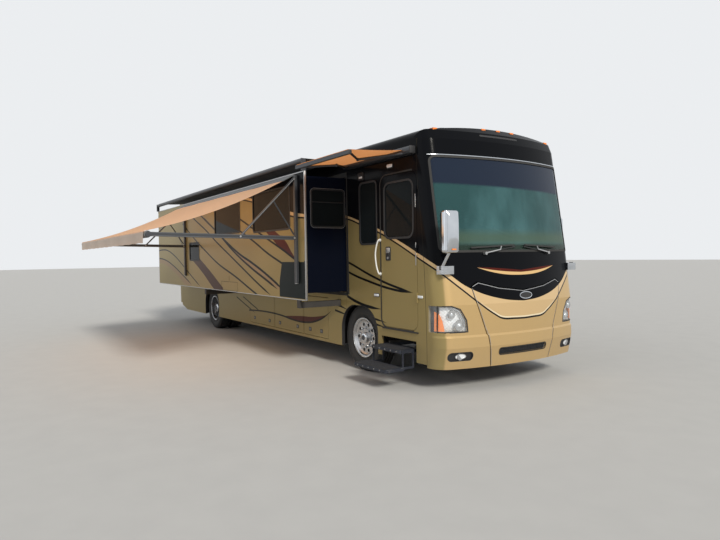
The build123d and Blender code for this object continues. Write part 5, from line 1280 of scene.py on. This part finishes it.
def makeWheelTrim():
    tall, nut = coach["tyre"], wheel["nut"]
    for side, word in ((-1, "right"), (1, "left")):
        for end in ("Front", "Rear"):
            kind = wheel[end]
            x, body = axlePlace(end == "Front", word)
            y = side * coach["wheelY"]
            face, hub = y + side * kind["disc"], kind["hub"]
            nuts, lips, dark = bmesh.new(), bmesh.new(), bmesh.new()
            for cx, _, cz in ringPath(x, face, tall, kind["ring"], wheel["nuts"], 0.5):
                middle = (cx, face + side * wheel["nutTall"], cz)
                addRod(nuts, (cx, face, cz), middle, nut, 6)
                addRod(nuts, middle, (cx, face + side * wheel["nutTip"], cz), nut * 0.8, 12, nut * 0.45)
            if end == "Front":      # lips of the disc's hand holes
                for cx, _, cz in ringPath(x, face, tall, wheel["holeRing"], wheel["nuts"]):
                    circle = ringPath(cx, face, cz, wheel["hole"], 24)
                    addBand(lips, circle, [(0, side, 0)] * 24, 0.006, 0.003, True)
            out = y + side * kind["hubOut"]
            addRod(lips, (x, out, tall), (x, out + side * 0.010, tall), hub * 0.92, 48, hub * 0.70)
            addRod(dark, (x, out + side * 0.010, tall), (x, out + side * 0.0115, tall), hub * 0.5, 32)
            for cx, _, cz in ringPath(x, out, tall, hub * 0.82, wheel["hubNuts"]):
                addRod(nuts, (cx, out, cz), (cx, out + side * 0.010, cz), wheel["hubNut"], 6)
            band = ringPath(x, y + side * wheel["edgeOut"], tall, wheel["edge"], 72)
            addBand(lips, band, [(0, side, 0)] * 72, 0.010, 0.010, True)
            seat(f"wheelNuts{word}{end}", nuts, "chrome", body)
            seat(f"wheelLips{word}{end}", lips, "chrome", body)
            seat(f"hubMark{word}{end}", dark, "darkAlloy", body)


awning = {"front": -0.66, "rear": -6.29, "wallY": 2.003, "wallZ": 2.980, "rollerY": 4.180, "rollerZ": 2.060,
          "rollerR": 0.045, "sag": 0.09, "valance": 0.165, "arms": (-0.6, -6.35),
          "slats": 9, "slatOver": 0.01, "caps": 3, "cap": 0.047, "capStep": 0.009, "ribs": 9, "rib": 0.0022}


def sagPath(start, end, sag, steps):      # points of a shallow arc between two (Y, height) places
    made = []
    for k in range(steps + 1):
        t = k / steps
        made.append((start[0] + (end[0] - start[0]) * t,
                     start[1] + (end[1] - start[1]) * t - 4 * sag * t * (1 - t)))
    return made


def pathLength(path):
    return sum(math.dist(a, b) for a, b in zip(path, path[1:]))


def addCloth(bm, path, x0, x1, steps, ripple):      # a sheet over (Y, height); ripple(x, i) moves a point
    rows = []
    for j in range(steps + 1):
        x = x0 + (x1 - x0) * j / steps
        moves = [ripple(x, i) for i in range(len(path))]
        rows.append([bm.verts.new((x, -(y + a), z + b)) for (y, z), (a, b) in zip(path, moves)])
    for a, b in zip(rows, rows[1:]):
        for i in range(len(path) - 1):
            bm.faces.new((a[i], a[i + 1], b[i + 1], b[i]))


def makePatioCloth():
    rollerY, valance = awning["rollerY"], awning["valance"]
    top = awning["rollerZ"] + awning["rollerR"] + 0.006
    ends = (awning["wallY"] + 0.004, awning["wallZ"]), (rollerY, top)
    path = sagPath(*ends, awning["sag"], 36)      # then round the roller and down the valance
    count = len(path)
    path += [(rollerY + 0.03, top - 0.004), (rollerY + 0.0475, top - 0.018)]
    path += [(rollerY + 0.0485, top - 0.018 - (valance - 0.018) * k / 7) for k in range(1, 8)]

    def ripple(x, i):
        low = max(0, i - count - 1) / 7
        edge = min(1, i / 6) * min(1, (count - i) / 8) if i < count else 0
        return (0.006 * low * math.sin(x * 6.0) + 0.002 * low * math.sin(x * 17.0),
                0.004 * edge * math.sin(x * 5.2 + 0.6) - 0.006 * low * abs(math.sin(x * 7.0)))
    bm = bmesh.new()
    addCloth(bm, path, awning["rear"], awning["front"], 220, ripple)
    cloth = seat("patioCloth", bm, "patioCanvas", "slide_room", keepNormals=True)
    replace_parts(cloth, "awning_cloth")
    length = pathLength(path)
    bm = bmesh.new()
    slats = sagPath(*ends, awning["sag"], 200)
    over = awning["slatOver"]
    for k in range(awning["slats"]):
        (y0, z0), (y1, z1) = slats[k * 2 + 1], slats[k * 2 + 2]
        z = (z0 + z1) / 2
        addBox(bm, (awning["rear"] - over, -y1 - 0.006, z - 0.008),
               (awning["front"] + over, -y0 + 0.004, z + 0.007), 0.003, 1)
    seat("awningSlats", bm, "slatAlloy", "slide_room")


topper = {"front": -0.415, "rear": -8.77, "wall": (1.2852, 3.220), "roller": (2.005, 3.1948), "sag": 0.012,
          "anchorX": -4.59, "keep": 0.058}


def makeTopperCloth():
    path = sagPath(topper["wall"], topper["roller"], topper["sag"], 12)
    bm = bmesh.new()
    addCloth(bm, path, topper["rear"], topper["front"], 120,
             lambda x, i: (0, 0.003 * math.sin(x * 9.0) * (i % 12 > 0)))
    cloth = seat("topperCloth", bm, "topperCanvas", "slide_room", keepNormals=True)
    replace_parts(cloth, "topper_cloth")
    length = pathLength(path)
    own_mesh(cloth)


doorShade = {"front": 1.23, "rear": -0.18, "case": (1.3848, 3.1015), "lead": (2.219, 3.0425), "sag": 0.008,
             "caps": [(-0.262, -0.25), (1.37, 1.382)], "leadCaps": [(-0.206, -0.2), (1.25, 1.256)]}


def makeDoorCloth():
    path = sagPath(doorShade["case"], doorShade["lead"], doorShade["sag"], 14)
    bm = bmesh.new()
    addCloth(bm, path, doorShade["rear"], doorShade["front"], 60,
             lambda x, i: (0, 0.002 * math.sin(x * 11.0) * (0 < i < 14)))
    cloth = seat("doorCloth", bm, "doorCanvas", "coach", keepNormals=True)
    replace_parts(cloth, "door_awning_cloth")
    length = pathLength(path)
    caps, leadCaps = bmesh.new(), bmesh.new()
    for x0, x1 in doorShade["caps"]:
        addBox(caps, (x0, -1.382, 3.047), (x1, -1.286, 3.143), 0.005)
    seat("doorAwningCaps", caps, "blackPlastic", "coach")
    for x0, x1 in doorShade["leadCaps"]:
        addBox(leadCaps, (x0, -2.222, 2.983), (x1, -2.178, 3.037), 0.003)
    seat("doorAwningLeadCaps", leadCaps, "blackPlastic", "coach")


# edges along the arms: offset in X, start and end as (Y, height), radius
armEdges = [(0.0205, (-2.06, 1.996), (-4.14, 2.038), 0.0035),
            (0.0205, (-2.06, 2.038), (-4.14, 2.080), 0.0035),
            (0.0165, (-2.05, 2.905), (-2.89, 2.065), 0.003)]
armPins = [(-2.914, 2.036), (-2.06, 2.018), (-2.045, 2.90)]


def makeAwningHardware():
    caps, edges, pins = bmesh.new(), bmesh.new(), bmesh.new()
    y, z = -awning["rollerY"], awning["rollerZ"]
    for x, way in ((awning["front"] + 0.03, 1), (awning["rear"] - 0.03, -1)):
        for k in range(awning["caps"]):
            start, radius = x + way * (0.001 + k * 0.004), awning["cap"] - k * awning["capStep"]
            addRod(caps, (start, y, z), (start + way * 0.003, y, z), radius, 32)
    for k in range(awning["ribs"]):
        turn = 2 * math.pi * k / awning["ribs"]
        ribY, ribZ = y + 0.0455 * math.cos(turn), z + 0.0455 * math.sin(turn)
        if math.sin(turn) < 0.6:      # none under the cloth
            addRod(edges, (awning["rear"] - 0.02, ribY, ribZ), (awning["front"] + 0.02, ribY, ribZ),
                   awning["rib"], 8)
    seat("rollerCaps", caps, "slatAlloy", "slide_room")
    for x in awning["arms"]:
        for way in (-1, 1):
            for out, (y0, z0), (y1, z1), radius in armEdges:
                addRod(edges, (x + way * out, y0, z0), (x + way * out, y1, z1), radius, 8)
            side = x + way * 0.0265
            addBox(edges, (side - 0.001, -2.046, 1.34), (side + 0.001, -2.040, 2.955))
    seat("awningEdges", edges, "slatAlloy", "slide_room")
    for x in awning["arms"]:
        for y, z in armPins:
            addRod(pins, (x - 0.026, y, z), (x + 0.026, y, z), 0.014, 20)
        addBox(pins, (x - 0.024, -2.048, 1.325), (x + 0.024, -2.004, 1.337), 0.004)
    seat("awningPins", pins, "satinAlloy", "slide_room")


# places are sideways; boxes of cushion and back as low corner, high corner, rounding, steps
cabSeat = {"driver": 0.64, "passenger": -0.30, "lean": -12.2, "hinge": (0.455, 1.624),
           "cushion": [((0.385, -0.246, 1.484), (0.896, 0.246, 1.618), 0.045, 5),
                       ((0.47, -0.15, 1.600), (0.86, 0.15, 1.634), 0.016, 3)],
           "back": [((-0.062, -0.246, 0.01), (0.062, 0.246, 0.50), 0.045, 5),
                    ((0.040, -0.15, 0.06), (0.078, 0.15, 0.44), 0.018, 3),
                    ((-0.058, -0.15, 0.515), (0.058, 0.15, 0.69), 0.045, 5)]}


def makeSeats():
    trim = bmesh.new()
    x, z = cabSeat["hinge"]
    for name in ("driver", "passenger"):
        y = cabSeat[name]
        bm, part = bmesh.new(), bmesh.new()
        for low, high, bevel, steps in cabSeat["cushion"]:
            addBox(bm, (low[0], y + low[1], low[2]), (high[0], y + high[1], high[2]), bevel, steps)
        for low, high, bevel, steps in cabSeat["back"]:
            addBox(part, low, high, bevel, steps)
        join(bm, part, at(x, y, z) @ Matrix.Rotation(math.radians(cabSeat["lean"]), 4, "Y"))
        cushion = seat(f"{name}Seat", bm, "leather", "coach", smooth=50)
        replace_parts(cushion, "cab_seats")
        addBox(trim, (0.46, y - 0.15, 1.15), (0.76, y + 0.15, 1.479), 0.02)
        for way in (-1, 1):      # arm rests
            armY = y + way * 0.262
            addBox(trim, (0.44, armY - 0.02, 1.80), (0.78, armY + 0.02, 1.85), 0.015, 3)
    seat("seatPedestals", trim, "dashPlastic", "coach")


dash = {"gauges": (0.54, 0.74), "gaugeZ": 1.585, "hood": ((1.385, 0.42, 1.640), (1.52, 0.86, 1.700)),
        "display": ((1.376, 0.02, 1.49), (1.3805, 0.30, 1.62)), "boss": (1.24, 0.64, 1.62), "tilt": -50}


def makeDashDetails():
    hood, face, boss, part = (bmesh.new() for _ in range(4))
    addBox(hood, *dash["hood"], 0.02, 3)
    addBox(face, *dash["display"], 0.002)
    z = dash["gaugeZ"]
    for y in dash["gauges"]:
        addRod(hood, (1.376, y, z), (1.3805, y, z), 0.062, 32)
        addRod(face, (1.373, y, z), (1.3765, y, z), 0.052, 32)
    seat("instrumentHood", hood, "dashPlastic", "coach")
    seat("instruments", face, "sideGlass", "coach")
    addRod(part, (0, 0, -0.02), (0, 0, 0.03), 0.055, 32)
    join(boss, part, at(*dash["boss"]) @ Matrix.Rotation(math.radians(dash["tilt"]), 4, "Y"))
    seat("steeringBoss", boss, "blackPlastic", "coach")


roof = {"units": (-2.5, -6.6), "slots": 6, "slotLow": 3.485, "slotStep": 0.022, "slotTall": 0.011,
        "side": (0.26, 0.3405), "end": (0.4205, 0.19), "skirt": (0.428, 0.348, 0.10, 3.425),
        "vents": ((-1.0, 0.3), (-4.5, 0.3), (-5.2, -0.6), (-8.3, 0.0)), "vent": 0.207,
        "crest": 3.434, "fall": 0.079, "dome": (0.88, -0.42, 3.418), "domeRadius": 0.250}


def makeRoofDetails():
    grille, base = bmesh.new(), bmesh.new()

    def skirt(points, z, width, thick):      # a flat band on the roof around a unit
        addBand(base, [(x, y, z) for x, y in points], [(0, 0, 1)] * len(points), width, thick, True)
    (sideX, sideY), (endX, endY) = roof["side"], roof["end"]
    halfX, halfY, corner, skirtZ = roof["skirt"]
    for x in roof["units"]:
        for side in (-1, 1):
            y, endAt = side * sideY, x + side * endX
            for k in range(roof["slots"]):
                z = roof["slotLow"] + k * roof["slotStep"]
                high = z + roof["slotTall"]
                addBox(grille, (x - sideX, y - 0.003, z), (x + sideX, y + 0.003, high))
                addBox(grille, (endAt - 0.003, -endY, z), (endAt + 0.003, endY, high))
        skirt(loop(x - halfX, x + halfX, -halfY, halfY, corner), skirtZ, 0.022, 0.022)
    seat("roofUnitGrilles", grille, "blackPlastic", "coach")
    half = roof["vent"]
    for x, y in roof["vents"]:
        z = roof["crest"] - roof["fall"] * (y / coach["half"]) ** 2 - 0.004
        skirt(loop(x - half, x + half, y - half, y + half, 0.02), z, 0.020, 0.016)
    x, y, z = roof["dome"]
    skirt([(px, py) for px, _, py in ringPath(x, 0, y, roof["domeRadius"], 48)], z, 0.020, 0.024)
    seat("roofSkirts", base, "satinWhite", "coach")


tail = {"lampX": (-9.660, -9.6535), "lampY": (1.038, 1.142), "red": [(1.105, 1.497), (0.903, 0.978)],
        "pale": [(0.985, 1.098)], "plate": ((-9.748, -0.155, 1.44), (-9.738, 0.155, 1.52)),
        "screen": ((-9.70, -0.50, 0.73), (-9.690, 0.50, 1.25)),
        "paddle": ((-9.747, -0.06, 0.625), (-9.735, 0.06, 0.665))}


def makeRearDetails():
    red, pale = bmesh.new(), bmesh.new()
    x0, x1 = tail["lampX"]
    for side in (-1, 1):
        y0, y1 = sorted(side * y for y in tail["lampY"])
        for target, rows in ((red, tail["red"]), (pale, tail["pale"])):
            for low, high in rows:
                addBox(target, (x0, y0, low), (x1, y1, high), 0.004)
    seat("tailLampLenses", red, "redLens", "coach")
    seat("reverseLamps", pale, "paleLens", "coach")
    single("rearPlateBlank", "whitePlastic", "coach", addBox, *tail["plate"], 0.003)


def makeEngineLouvres():
    single("engineDoorScreen", "blackPlastic", "engine_door", addBox, *tail["screen"])
    single("engineDoorPaddle", "satinAlloy", "engine_door", addBox, *tail["paddle"], 0.004)


for make in (makeWindowFrames, makeScreenTrim, makeHatchTrim, makeHeadlampInsides, makeFogLamps,
             makeMirrorDetails, makeWiperBlades, makeDoorTrim, makeSideLamps, makeRoomTrim, makeArchLips,
             makeWheelWells, makeBayLatches, makeStepTreads, makeTyres, makeWheelTrim, makePatioCloth,
             makeTopperCloth, makeDoorCloth, makeAwningHardware, makeSeats, makeDashDetails, makeRoofDetails,
             makeRearDetails, makeEngineLouvres):
    make()
    print("stage:", make.__name__)
